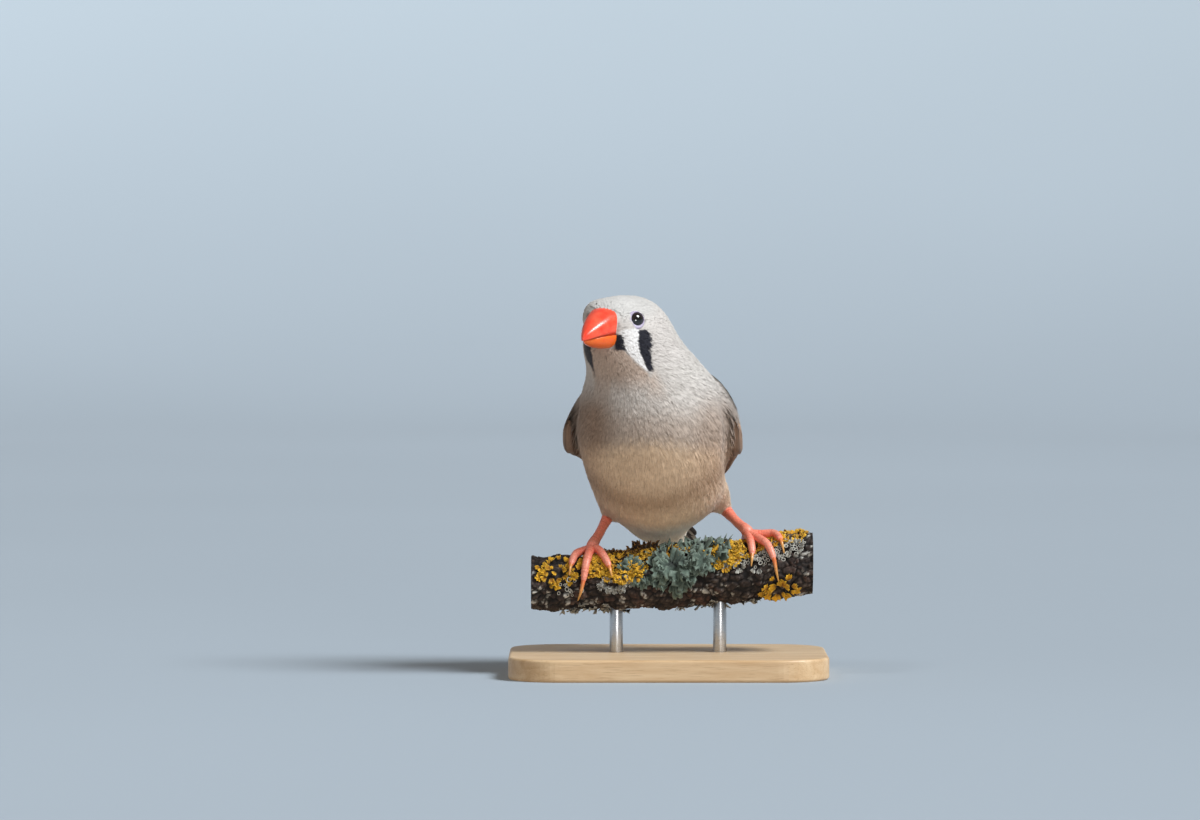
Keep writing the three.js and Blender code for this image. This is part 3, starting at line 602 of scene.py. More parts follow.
def thinned(places, gaps):
    """The numbers of places that keep their gap to all those kept before them."""
    tree = kdtree.KDTree(len(places))
    for i, place in enumerate(places):
        tree.insert(place, i)
    tree.balance()
    free = np.ones(len(places), bool)
    kept = []
    for i in range(len(places)):
        if free[i]:
            kept.append(i)
            for _, j, _ in tree.find_range(places[i], gaps[i]):
                free[j] = False
    return np.array(kept)


def lie_of(places, ways):
    """The way feathers point: away from the bill on the head, towards the tail on the body."""
    away = unit(places - BILL_ROOT)
    far = np.linalg.norm(places - BILL_ROOT, axis=1)
    share = np.clip(1 - (far - 7) / 36, 0, 1)[:, None]
    lie = share * away + (1 - share) * unit(TAIL_TIP - places)
    for side in HIPS:
        hip, ankle = on_perch_frame(HIPS[side]), on_perch_frame(ANKLES[side])
        near = smooth_step(-thigh_mass(places, side), -1.6, 0.4)[:, None]
        lie = lie * (1 - near) + unit(ankle - hip) * near
    lie = unit(lie - (lie * ways).sum(axis=1, keepdims=True) * ways)
    sway = np.array([noise.noise(Vector(place / 7.0)) for place in places])
    return unit(lie + np.cross(ways, lie) * (0.38 * sway)[:, None])


def feather_length(places):
    far = np.linalg.norm(places - BILL_ROOT, axis=1)
    length = np.interp(far, [2, 6, 12, 20, 34, 60], [0.9, 1.4, 2.3, 3.9, 5.8, 6.6])
    for side in HIPS:
        near = smooth_step(-thigh_mass(places, side), -1.5, 0.5)
        length = length * (1 - near) + 3.6 * near
    return length


def in_bill(places):
    """True inside the bill's own width and height."""
    head = into_head(places)
    share = np.clip((head[:, 0] - 8.5) / 14.3, 0, 1)
    half = 4.95 * (1 - share**1.6) ** 0.8
    return (
        (head[:, 0] > np.where(head[:, 2] < 1.6, 8.5, 9.9))
        & (np.abs(head[:, 1] + 0.5) < half - 0.35)
        & (head[:, 2] > -1.9 + 3 * share)
        & (head[:, 2] < 8.6 - 5 * share)
    )


def unwrapped(places):
    """Each place on the bird's skin as a turn round its upright middle and a height along it."""
    middle = np.interp(places[:, 2], [8, 20, 38, 56, 78], [-22, -10, -3, 3, 7])
    turn = np.arctan2(places[:, 1] + 0.06 * (places[:, 2] - 30), places[:, 0] - middle)
    return np.c_[turn / (2 * math.pi) + 0.5, np.clip((places[:, 2] + 20) / 102, 0, 1)]


STATIONS = np.array([0, 1 / 3, 2 / 3, 1])


def laid_on_bird(roots, lies, lengths, lifts):
    """Each feather's middle line in four stations along the plumage, rising from skin to surface."""
    depth = coat_depth(roots)
    lines, outs = [], []
    for share in STATIONS:
        level = -depth + (depth + lifts) * share**0.75
        line, out = settle(roots + lies * (lengths * share)[:, None], level, 3)
        lines.append(line)
        outs.append(out)
    return np.stack(lines, axis=1), np.stack(outs, axis=1)


def at_share(stations, shares):
    """Values between the four stations, for shares of the length from 0 to 1."""
    place = np.clip(shares, 0, 0.9999) * (len(STATIONS) - 1)
    low = place.astype(int)
    mix = (place - low)[..., None]
    row = np.arange(len(stations)).reshape((-1,) + (1,) * (shares.ndim - 1))
    return stations[row, low] * (1 - mix) + stations[row, low + 1] * mix


# A barb's seven points: left, right and top at its root, the same at its middle, and its tip
BARB_STATION = (0, 0, 0, 1, 1, 1, 2)
BARB_EDGE = (0.14, -0.14, 0, 0.14, -0.14, 0, 0)
BARB_ALONG = np.array([0.05, 0.05, 0.05, 0.5, 0.5, 0.5, 0.95])
# Each point's share of its barb's colour: painted shade darkens the root, deep in the coat, and the tip is a
# touch lighter
BARB_ROOT_SHADE = np.array([0.88, 0.88, 0.9, 0.98, 0.98, 1.0, 1.03])
BARB_FACES = np.array(
    [
        (0, 2, 5), (0, 5, 3), (1, 5, 2), (1, 4, 5), (0, 3, 4), (0, 4, 1),
        (3, 5, 6), (5, 4, 6), (3, 6, 4), (0, 1, 2),
    ]
)


def triangle_mesh(name, places, faces, colours, maps):
    """A mesh from whole arrays of points, triangles, point colours and point map places."""
    mesh = bpy.data.meshes.new(name)
    mesh.vertices.add(len(places))
    mesh.vertices.foreach_set("co", np.ascontiguousarray(places, np.float32).ravel())
    mesh.loops.add(faces.size)
    mesh.loops.foreach_set("vertex_index", faces.astype(np.int32).ravel())
    mesh.polygons.add(len(faces))
    mesh.polygons.foreach_set("loop_start", np.arange(0, faces.size, 3, dtype=np.int32))
    mesh.update(calc_edges=True)
    painted(mesh, colours)
    for map_name, spots in maps.items():
        layer = mesh.uv_layers.new(name=map_name)
        layer.data.foreach_set("uv", spots[faces.ravel()].astype(np.float32).ravel())
    return mesh


def fans_of_barbs(name, lines, outs, widths, barbs, paint, spread=0.03):
    """Soft feathers on given middle lines, each a fan of thin closed barbs. paint colours places."""
    count = len(lines)
    runs = unit(np.gradient(lines, axis=1))
    sides = unit(np.cross(outs, runs))
    across = np.linspace(-1, 1, barbs)[None] + rng.normal(0, 0.7 / barbs, (count, barbs))
    across = np.clip(across, -1, 1)
    start = 0.04 + 0.34 * rng.random(across.shape)
    end = 0.62 + 0.36 * np.sqrt(np.maximum(1 - across**2, 0)) + rng.normal(0, 0.075, across.shape)
    end = np.clip(end, start + 0.3, 1.08)
    shares = np.stack([start, start + 0.5 * (end - start), end], axis=-1)
    reach = np.stack([0.16 * across, 0.6 * across, across], axis=-1) * widths[:, None, None] / 2
    middle = at_share(lines, shares)
    out = unit(at_share(outs, shares))
    side = unit(at_share(sides, shares))
    camber = -0.10 * (reach**2) / np.maximum(widths[:, None, None], 0.5)
    rise = camber + rng.normal(0, spread, across.shape)[..., None] * shares
    middle = middle + side * reach[..., None] + out * rise[..., None]
    blade = (widths[:, None] / barbs * 1.35 * rng.uniform(0.75, 1.2, across.shape))[..., None, None]
    ridge = 0.025 + 0.04 * blade
    first = middle[:, :, 0:2]
    half = blade * np.array([0.35, 0.5])[:, None]
    left = first + side[:, :, 0:2] * half
    right = first - side[:, :, 0:2] * half
    top = first + out[:, :, 0:2] * ridge
    root, waist = [[edge[:, :, k] for edge in (left, right, top)] for k in (0, 1)]
    places = np.stack([*root, *waist, middle[:, :, 2]], axis=2)
    heart = middle[:, :, 1].reshape(-1, 3) * 0.6 + middle[:, :, 2].reshape(-1, 3) * 0.4
    colour = paint(heart, out[:, :, 1].reshape(-1, 3))
    tone = rng.normal(1, 0.018, (count, 1)) + rng.normal(0, 0.036, (count, barbs))
    colour = colour * tone.reshape(-1, 1)
    # Painted shade towards each barb's root
    colours = colour[:, None, :] * BARB_ROOT_SHADE[None, :, None]
    faces = (np.arange(count * barbs)[:, None, None] * 7 + BARB_FACES[None]).reshape(-1, 3)
    patch = unwrapped(lines[:, 0])[:, None, None, :] + 0.003 * np.stack(
        [
            np.broadcast_to(across[..., None] * 0.5, (count, barbs, 7)),
            np.broadcast_to(BARB_ALONG - 0.5, (count, barbs, 7)),
        ],
        axis=-1,
    )
    mesh = triangle_mesh(
        name, from_bird(places.reshape(-1, 3)), faces, np.clip(colours.reshape(-1, 3), 0, 1),
        {"OFBake": np.clip(patch.reshape(-1, 2), 0.001, 0.999)},
    )
    tilt = rng.normal(0, 0.10, across.shape)[..., None]
    flat = [out[:, :, k] + side[:, :, k] * (tilt + edge) for k, edge in zip(BARB_STATION, BARB_EDGE)]
    mesh.shade_smooth()
    mesh.normals_split_custom_set_from_vertices(unit(np.stack(flat, axis=2).reshape(-1, 3)) @ BIRD_TURN.T)
    return mesh


plume = painted_finish(
    "plumage", {"Scale": 1500.0, "Detail": 3.0, "Dark": 0.93, "Light": 1.05},
    Roughness=0.78, Sheen_Weight=0.25, Sheen_Roughness=0.5, Specular_IOR_Level=0.25,
)

FEATHER_SPOTS, EYE_CLEAR = 110000, LID_RING + 0.12
roots = scattered_on(skin_mesh, FEATHER_SPOTS)
lengths = feather_length(roots)
roots = roots[thinned(roots, 0.24 + 0.088 * lengths)]
roots, ways = settle(roots, -coat_depth(roots), 2)
keep = ~in_bill(roots) & (roots[:, 0] > -37.5)
for place, _, _ in EYES.values():
    keep &= np.linalg.norm(roots - place, axis=1) > EYE_CLEAR
roots, ways = roots[keep], ways[keep]
lies = lie_of(roots, ways)
turned = unit(np.cross(ways, lies)) * rng.normal(0, 0.09, len(roots))[:, None]
lies = unit(lies + turned)
lengths = feather_length(roots) * rng.uniform(0.88, 1.12, len(roots))
for place, _, _ in EYES.values():
    for share in (1.0, 0.75, 0.5, 0.3):
        tip = roots + lies * (lengths * share)[:, None]
        over = np.linalg.norm(tip - place, axis=1) < EYE_CLEAR
        lengths = np.where(over, lengths * share * 0.72, lengths)
keep = lengths > 0.35
roots, ways, lies, lengths = roots[keep], ways[keep], lies[keep], lengths[keep]


# The folded wings' beds: no long feathers grow under a folded wing, so that it lies close. Each wing
# follows a sheet from the wrist to its tip, u along it and v up from its lower edge. The coat's fans
# are laid in this section, once the places under both wings are left out.
def curve_through(points, count=400):
    """Evenly spaced places on a smooth curve through points, and the way it runs at each."""
    points = np.asarray(points, float)
    points = np.vstack([2 * points[0] - points[1], points, 2 * points[-1] - points[-2]])
    fine = []
    for a, b, c, d in zip(points, points[1:], points[2:], points[3:]):
        k1 = np.linalg.norm(b - a) ** 0.5
        k2 = k1 + np.linalg.norm(c - b) ** 0.5
        k3 = k2 + np.linalg.norm(d - c) ** 0.5
        t = np.linspace(k1, k2, 60)[:, None]
        ab = (k1 - t) / k1 * a + t / k1 * b
        bc = (k2 - t) / (k2 - k1) * b + (t - k1) / (k2 - k1) * c
        cd = (k3 - t) / (k3 - k2) * c + (t - k2) / (k3 - k2) * d
        abc = (k2 - t) / k2 * ab + t / k2 * bc
        bcd = (k3 - t) / (k3 - k1) * bc + (t - k1) / (k3 - k1) * cd
        fine.append((k2 - t) / (k2 - k1) * abc + (t - k1) / (k2 - k1) * bcd)
    fine = np.vstack(fine)
    step = np.r_[0, np.cumsum(np.linalg.norm(np.diff(fine, axis=0), axis=1))]
    even = np.linspace(0, step[-1], count)
    places = np.stack([np.interp(even, step, fine[:, k]) for k in range(3)], axis=1)
    return places, unit(np.gradient(places, axis=0)), step[-1]


WING_LENGTH, WING_START = 57, 12
LOWER_EDGE = [86, 99, 91, 84, 73, 58, 44]
CURL_RADIUS = [19, 19, 18, 16, 13, 10, 8]
WING_BREADTH = [13, 19, 21.5, 19.5, 14, 9, 5]
HUNG = {"right": 2.4, "left": 0.6}
spine_places, spine_runs, SPINE_LENGTH = curve_through(
    [(9, 0, 55), (-4, 0, 38), (-18, 0, 24), (-31, 0, 12.5), (-46, 0, -1)]
)


def read_off(values, share):
    return np.interp(np.clip(share, 0, 1), np.linspace(0, 1, len(values)), values)


def wing_ray(u, v, side):
    share = u / WING_LENGTH
    along = np.clip((WING_START + u) / SPINE_LENGTH, 0, 1) * (len(spine_places) - 1)
    numbers = range(len(spine_places))
    centre = np.stack([np.interp(along, numbers, spine_places[:, k]) for k in range(3)], -1)
    run = np.stack([np.interp(along, numbers, spine_runs[:, k]) for k in range(3)], -1)
    turn = np.radians(read_off(LOWER_EDGE, share)) - v / read_off(CURL_RADIUS, share)
    sign = 1 if side == "left" else -1
    back = np.stack([run[..., 2], 0 * run[..., 0], -run[..., 0]], -1)
    way = back * np.cos(turn)[..., None]
    way[..., 1] += sign * np.sin(turn)
    return centre, way


GRID_U, GRID_V = np.linspace(-6, 60, 67), np.linspace(-8, 26, 69)


def wing_bed(side):
    """How far the plumage reaches out from the trunk's middle line under each part of a wing."""
    u, v = [a.ravel() for a in np.meshgrid(GRID_U, GRID_V, indexing="ij")]
    centre, way = wing_ray(u, v, side)
    out = np.zeros(len(u))
    going = np.ones(len(u), bool)
    for _ in range(45):
        inside = mass_of(TRUNK_MASSES, centre + way * out[:, None]) < 0
        going &= inside
        out[going] += 1
    low, high = out - 1, out.copy()
    for _ in range(14):
        middle = (low + high) / 2
        inside = mass_of(TRUNK_MASSES, centre + way * middle[:, None]) < 0
        low, high = np.where(inside, middle, low), np.where(inside, high, middle)
    return high.reshape(len(GRID_U), len(GRID_V))


WING_BEDS = {side: wing_bed(side) for side in HUNG}


def bow_of(side, u, v):
    """How far a wing hangs off the plumage under it."""
    share = np.clip(u / WING_LENGTH, 0.0, 1)
    bow = np.sin(np.pi * share) ** 0.5 * (1 - 0.85 * smooth_step(share, 0.17, 0.34))
    return HUNG[side] * bow * np.clip(1 - v / 15, 0, 1.15)


def wing_sheet(side, u, v, rise):
    """Places on a wing's sheet, in the bird's frame, at heights above the plumage under it."""
    u, v, rise = np.broadcast_arrays(np.asarray(u, float), v, rise)
    centre, way = wing_ray(u, v, side)
    a = np.clip((u - GRID_U[0]) / (GRID_U[1] - GRID_U[0]), 0, len(GRID_U) - 1.001)
    b = np.clip((v - GRID_V[0]) / (GRID_V[1] - GRID_V[0]), 0, len(GRID_V) - 1.001)
    i, j = a.astype(int), b.astype(int)
    a, b = a - i, b - j
    bed = WING_BEDS[side]
    reach = (bed[i, j] * (1 - a) + bed[i + 1, j] * a) * (1 - b)
    reach = reach + (bed[i, j + 1] * (1 - a) + bed[i + 1, j + 1] * a) * b
    return centre + way * (reach + bow_of(side, u, v) + rise)[..., None]


COVER_REACH = 1.7
bed_places = [
    wing_sheet(side, u, v, 0.0)
    for side in HUNG
    for u in np.linspace(5, 46, 22)
    for v in np.linspace(3.0, max(read_off(WING_BREADTH, u / WING_LENGTH) - 2.5, 4), 20)
]
covered = kdtree.KDTree(len(bed_places))
for number, place in enumerate(bed_places):
    covered.insert(place, number)
covered.balance()
free = np.array([covered.find(root)[2] >= COVER_REACH for root in roots])
roots, ways, lies, lengths = roots[free], ways[free], lies[free], lengths[free]

lifts = rng.uniform(0.0, 0.11, len(roots)) * np.clip(lengths / 4, 0.4, 1)
lines, outs = laid_on_bird(roots, lies, lengths, lifts)
far = np.linalg.norm(roots - BILL_ROOT, axis=1)
dorsal = ways @ np.array([-0.86, 0, 0.5])
groups = {
    "coat_face": far < 11,
    "coat_head": (far >= 11) & (far < 21),
    "coat_breast": (far >= 21) & (dorsal < 0.15) & (roots[:, 2] > 36),
    "coat_belly": (far >= 21) & (dorsal < 0.15) & (roots[:, 2] <= 36),
    "coat_back": (far >= 21) & (dorsal >= 0.15),
}
for name, chosen in groups.items():
    small = name in ("coat_face", "coat_head")
    mesh = fans_of_barbs(
        name, lines[chosen], outs[chosen], lengths[chosen] * (0.6 if small else 0.46),
        6 if name == "coat_face" else 8, markings, 0.024 if name == "coat_breast" else 0.016,
    )
    add_piece(name, mesh, plume, "head_feathers" if small else "body_feathers")


# Folded wings: brown-grey flight feathers in tiers, stiff vanes on a quill, with shorter coverts over
# their roots and small ones over the wrist and round the front edge. Every vane is laid on its wing's
# sheet with its tip to the tail, each tier over the one before it.
QUILL = from_screen(84, 68, 58)
WEB = from_screen(144, 118, 99)
WEB_DARK = from_screen(98, 80, 68)
EDGE = from_screen(186, 160, 138)
COVERT = from_screen(164, 132, 107)
PRIMARY_WEB = from_screen(114, 95, 82)
PRIMARY_DARK = from_screen(78, 66, 59)
VANE_ACROSS = np.array([-1, -0.9, -0.6, -0.25, -0.06, 0, 0.06, 0.3, 0.65, 0.92, 1])
BARB_MAP_SCALE = 0.02


def plate_faces(rows, columns):
    """The triangles of a thin plate whose points come as a grid, top and underside in turn."""

    def at(i, j, side):
        return (i * columns + j) * 2 + side

    i, j = [k.ravel() for k in np.meshgrid(range(rows - 1), range(columns - 1), indexing="ij")]
    r, c, last_r, last_c = np.arange(rows - 1), np.arange(columns - 1), rows - 1, columns - 1
    quads = [
        (at(i, j, 0), at(i + 1, j, 0), at(i + 1, j + 1, 0), at(i, j + 1, 0)),
        (at(i, j, 1), at(i, j + 1, 1), at(i + 1, j + 1, 1), at(i + 1, j, 1)),
        (at(r, 0, 1), at(r + 1, 0, 1), at(r + 1, 0, 0), at(r, 0, 0)),
        (at(r, last_c, 0), at(r + 1, last_c, 0), at(r + 1, last_c, 1), at(r, last_c, 1)),
        (at(0, c, 0), at(0, c + 1, 0), at(0, c + 1, 1), at(0, c, 1)),
        (at(last_r, c, 1), at(last_r, c + 1, 1), at(last_r, c + 1, 0), at(last_r, c, 0)),
    ]
    return np.concatenate([np.stack(q, 1)[:, pick] for q in quads for pick in ([0, 1, 2], [0, 2, 3])])


def vane(sheet, root, tip, width, lift, rows=15, thick=0.16, web=WEB, edge=EDGE, dark=WEB_DARK,
         outer=0.42, camber=0.22, edge_at=0.8):
    """One stiff feather on a sheet: its points, triangles, colours and map places along and across.

    lift is its height at root and tip, outer the share of the narrow web, edge_at where its rim begins."""
    root, tip = np.array(root, float), np.array(tip, float)
    run = tip - root
    length = np.hypot(*run)
    ahead = run / length
    share = np.sin(0.5 * np.pi * np.arange(rows + 1) / rows) ** 1.05
    cap = min(0.75 * width / length, 0.42)
    round_end = np.sqrt(np.maximum(1 - (np.maximum(share - 1 + cap, 0) / cap) ** 2, 0.012))
    half = width * np.interp(share, [0, 0.12, 0.35, 1], [0.22, 0.32, 0.5, 0.5]) * round_end
    split = rng.uniform(0.45, 0.85)
    notch = 1 - 0.16 * np.exp(-(((share - split) / 0.025) ** 2))
    across = np.broadcast_to(VANE_ACROSS, (len(share), len(VANE_ACROSS)))
    reach = np.where(across < 0, across * outer * 2, across * (1 - outer) * 2) * half[:, None]
    reach = np.where(across < -0.5, reach * notch[:, None], reach)
    u = root[0] + ahead[0] * share[:, None] * length - ahead[1] * reach
    v = root[1] + ahead[1] * share[:, None] * length + ahead[0] * reach
    base = lift[0] + (lift[1] - lift[0]) * share[:, None] - camber * across**2
    body = thick * (1 - 0.55 * across**2) * (1 - 0.5 * share[:, None] ** 4)
    ridge = 0.10 * np.exp(-((across / 0.07) ** 2)) * (1 - share[:, None])
    top = sheet(u, v, base + body + ridge)
    under = sheet(u, v, base - 0.02)
    places = np.stack([top, under], axis=2).reshape(-1, 3)
    rim = smooth_step(np.abs(across), edge_at, edge_at + 0.12)
    rim = np.maximum(rim, smooth_step(share[:, None] * length, length - 0.55, length - 0.15))
    shaft = np.exp(-((across / 0.06) ** 2))
    colour = mixed(np.tile(web, (across.size, 1)), dark, (share[:, None] ** 2 * (1 - rim) * 0.8).ravel())
    colour = mixed(colour, edge, rim.ravel() * 0.85)
    colour = mixed(colour, QUILL, shaft.ravel() * 0.8)
    colour = colour * rng.normal(1, 0.05) * rng.normal(1, 0.015, (len(colour), 1))
    colours = np.repeat(colour, 2, axis=0)
    spots = np.stack([share[:, None] * length + 0 * across, reach], -1).reshape(-1, 2)
    spots = np.repeat(spots, 2, axis=0) * BARB_MAP_SCALE + 0.5
    return places, plate_faces(rows + 1, len(VANE_ACROSS)), colours, spots


def joined_vanes(name, vanes):
    """Feathers as one mesh, with each one's triangles turned outwards and a bake map cell of its own."""
    places, faces, colours, spots, cells, start = [], [], [], [], [], 0
    columns = math.ceil(math.sqrt(len(vanes)))
    for number, one in enumerate(vanes):
        a, b, c = [one[0][one[1][:, k]] for k in range(3)]
        inside_out = (a * np.cross(b, c)).sum() < 0
        places.append(one[0])
        faces.append((one[1][:, ::-1] if inside_out else one[1]) + start)
        colours.append(one[2])
        spots.append(one[3])
        inside = (one[3] - one[3].min(axis=0)) / np.ptp(one[3], axis=0)
        cells.append((np.array([number % columns, number // columns]) + 0.06 + 0.88 * inside) / columns)
        start += len(one[0])
    places, faces, colours = [np.concatenate(lists) for lists in (places, faces, colours)]
    mesh = triangle_mesh(
        name, from_bird(places), faces, np.clip(colours, 0, 1),
        {"barbs": np.concatenate(spots), "OFBake": np.concatenate(cells)},
    )
    mesh.shade_smooth()
    return mesh


def feather_tier(sheet, count, first, last, **looks):
    """Evenly spaced feathers from a first to a last one, each (root, tip, width, lift)."""
    made = []
    for i in range(count):
        share = i / max(count - 1, 1)
        root, tip, width, lift = [
            np.array(a, float) * (1 - share) + np.array(b, float) * share for a, b in zip(first, last)
        ]
        tip = tip + rng.normal(0, 0.12, 2) * min(width, 3)
        made.append(vane(sheet, root, tip, float(width), lift, **looks))
    return made


def edge_sheet(side, u, s, rise):
    """The rounded front edge of a wing: s runs from the body outwards round it to the wing's top."""
    u, s, rise = np.broadcast_arrays(np.asarray(u, float), s, rise)
    turn = np.radians(-95 + s * 38)
    thick = 2.3 * np.interp(u, [-6, -2, 5, 11, 17, 32, 57], [0.05, 0.6, 1.0, 0.95, 0.5, 0.35, 0.2])
    hang = bow_of(side, u, 0 * u)
    half = (thick + 0.9 * hang) / 2
    v = 1.6 - (1.9 + rise) * np.cos(turn)
    return wing_sheet(side, u, v, -0.9 * hang + half + (half + rise) * np.sin(turn))


def wing_feathers(side):
    def sheet(u, v, rise):
        return wing_sheet(side, u, v, rise)

    def edge(u, v, rise):
        return edge_sheet(side, u, v, rise)

    primaries = feather_tier(
        sheet, 8, ([13, 2.2], [57, 1.4], 3.0, [0.55, 0.6]), ([16, 8.4], [44, 8.4], 3.3, [1.2, 1.8]),
        rows=20, web=PRIMARY_WEB, dark=PRIMARY_DARK, edge_at=0.84,
    )
    secondaries = feather_tier(
        sheet, 6, ([16, 8.9], [43, 9.0], 3.6, [1.3, 2.0]), ([16, 14.8], [40.5, 11.6], 3.8, [1.6, 2.6]),
        rows=18,
    )
    inner_flight = feather_tier(
        sheet, 3, ([14, 16], [37.5, 11.8], 5.2, [1.4, 2.6]), ([13, 19.6], [29.5, 16.8], 5.4, [0.9, 2.2]),
        rows=18, outer=0.48,
    )
    primary_coverts = feather_tier(
        sheet, 6, ([9, 2.2], [27, 2.0], 2.4, [1.1, 1.6]), ([11, 6.4], [24.0, 6.6], 2.8, [1.4, 2.4]), rows=12
    )
    great_coverts = feather_tier(
        sheet, 10, ([10, 6.6], [23, 7.6], 3.0, [1.8, 2.8]), ([9, 19.3], [21.5, 19.4], 3.3, [1.0, 2.2]),
        rows=12, web=COVERT, outer=0.5,
    )
    thumb = feather_tier(
        sheet, 2, ([5, 0.8], [19, 0.9], 2.2, [1.0, 1.4]), ([5, 2.2], [16, 2.4], 2.3, [1.3, 1.9]), rows=10
    )
    middle_coverts = feather_tier(
        sheet, 9, ([5, 2.8], [15.0, 3.4], 2.9, [1.6, 2.8]), ([4.5, 17.6], [13.4, 18.6], 3.2, [0.9, 2.2]),
        rows=10, web=COVERT, outer=0.5,
    )
    small_coverts = []
    for row, (start, reach, low, high) in enumerate(
        [(3.2, 6.6, 1.2, 2.6), (1.2, 6.2, 0.3, 2.2), (-0.9, 6.0, -0.9, 1.7), (-3.0, 5.6, -2.2, 1.0)]
    ):
        small_coverts += feather_tier(
            sheet, 9 - row // 2,
            ([start, 1.6 + 0.3 * row], [start + reach, 2.2], 2.7, [low, high]),
            ([start, 16.5 - 1.0 * row], [start + reach, 17.2 - row], 2.9, [low - 0.6, high - 0.7]),
            rows=8, web=COVERT * 1.03, outer=0.5, camber=0.3, edge_at=0.86,
        )
    front_coverts = [
        vane(
            edge, [start, s + 0.1], [start + 6.4, s + 0.7], 2.7, [0.0, 0.25], rows=9,
            web=COVERT * rng.uniform(0.92, 1.02), outer=0.5, camber=0.2, edge_at=0.85,
        )
        for row, s in enumerate([3.7, 2.7, 1.7, 0.7])
        for start in np.arange(20.0 - 1.6 * (row % 2), 1.4, -3.1)
    ]
    front_thumb = [
        vane(
            edge, [start, s], [end, last], 2.7, [0.3, 0.85], rows=12, web=WEB, outer=0.5, camber=0.3,
            edge_at=0.82, thick=0.22,
        )
        for start, s, end, last in ((3.6, 2.9, 11.6, 3.5), (3.0, 1.8, 12.8, 2.3), (2.4, 0.7, 14.0, 1.0))
    ]
    return joined_vanes(
        f"wing_{side}_feathers",
        primaries + secondaries + inner_flight + primary_coverts + great_coverts + thumb + middle_coverts
        + small_coverts + front_coverts + front_thumb,
    )


def along_barbs(material):
    """A vector by the barbs map that runs along the barbs, slanting out from each quill."""
    spot = add_node(material, "ShaderNodeUVMap", {"uv_map": "barbs"})
    part = add_node(material, "ShaderNodeSeparateXYZ", _0=spot.outputs[0])
    off = add_node(material, "ShaderNodeMath", {"operation": "SUBTRACT"}, _0=part.outputs["Y"], _1=0.5)
    out = add_node(material, "ShaderNodeMath", {"operation": "ABSOLUTE"}, _0=off.outputs[0])
    slant = add_node(material, "ShaderNodeMath", {"operation": "MULTIPLY"}, _0=out.outputs[0], _1=1.15)
    lead = add_node(
        material, "ShaderNodeMath", {"operation": "SUBTRACT"}, _0=part.outputs["X"], _1=slant.outputs[0]
    )
    spread = add_node(material, "ShaderNodeCombineXYZ", _0=lead.outputs[0], _1=out.outputs[0])
    long = add_node(material, "ShaderNodeMapping", _0=spread.outputs[0])
    long.inputs["Scale"].default_value = (1.0, 0.16, 1.0)
    return long.outputs[0]


flight, shader = new_finish("flight_vanes", Roughness=0.62, Sheen_Weight=0.15, Specular_IOR_Level=0.35)
paint = add_node(flight, "ShaderNodeAttribute", {"attribute_name": PAINT})
streaks = add_mottle(
    flight, paint.outputs["Color"], along_barbs(flight), Scale=220.0, Detail=2.0, Roughness=0.6,
    Dark=0.84, Light=1.1,
)
flight.node_tree.links.new(streaks.outputs["Color"], shader.inputs["Base Color"])
add_relief(flight, shader, streaks.outputs["Grain"], 0.5, 0.00008)
for side in HUNG:
    mesh = wing_feathers(side)
    add_piece(mesh.name, mesh, flight, "wing_feathers", f"wing_{side}")


# Feathers over the wings' borders: the sides of the breast overlap each wing's front edge, and
# the shoulder feathers of the back lie over its inner edge. Both are soft, like the body's.
def laid_on_wing(side, roots, tips, low, high, free):
    """Middle lines on a wing's sheet between places (u, v), rising from one height to another.

    free tells how far off the plumage they may stand at a place."""
    lines, outs = [], []
    for share in STATIONS:
        spot = roots + (tips - roots) * share
        rise = low + (high - low) * share**0.8
        line = wing_sheet(side, spot[:, 0], spot[:, 1], rise)
        out = unit(wing_sheet(side, spot[:, 0], spot[:, 1], rise + 0.5) - line)
        level = 0.12 * share - coat_depth(line) * (1 - share**0.75)
        height = plumage(line)
        wanted = np.clip(height, level, level + free(spot[:, 0], spot[:, 1]))
        moved, upward = settle(line, wanted, 4)
        stays = (np.abs(wanted - height) < 0.02)[:, None]
        lines.append(np.where(stays, line, moved))
        outs.append(np.where(stays, out, upward))
    return np.stack(lines, axis=1), np.stack(outs, axis=1)


def spots_between(u_range, v_range, gap):
    """Jittered places (u, v) at an even gap."""
    u, v = np.meshgrid(np.arange(*u_range, gap), np.arange(*v_range, gap), indexing="ij")
    spots = np.stack([u.ravel(), v.ravel()], axis=1)
    return spots + rng.uniform(-0.5, 0.5, spots.shape) * gap


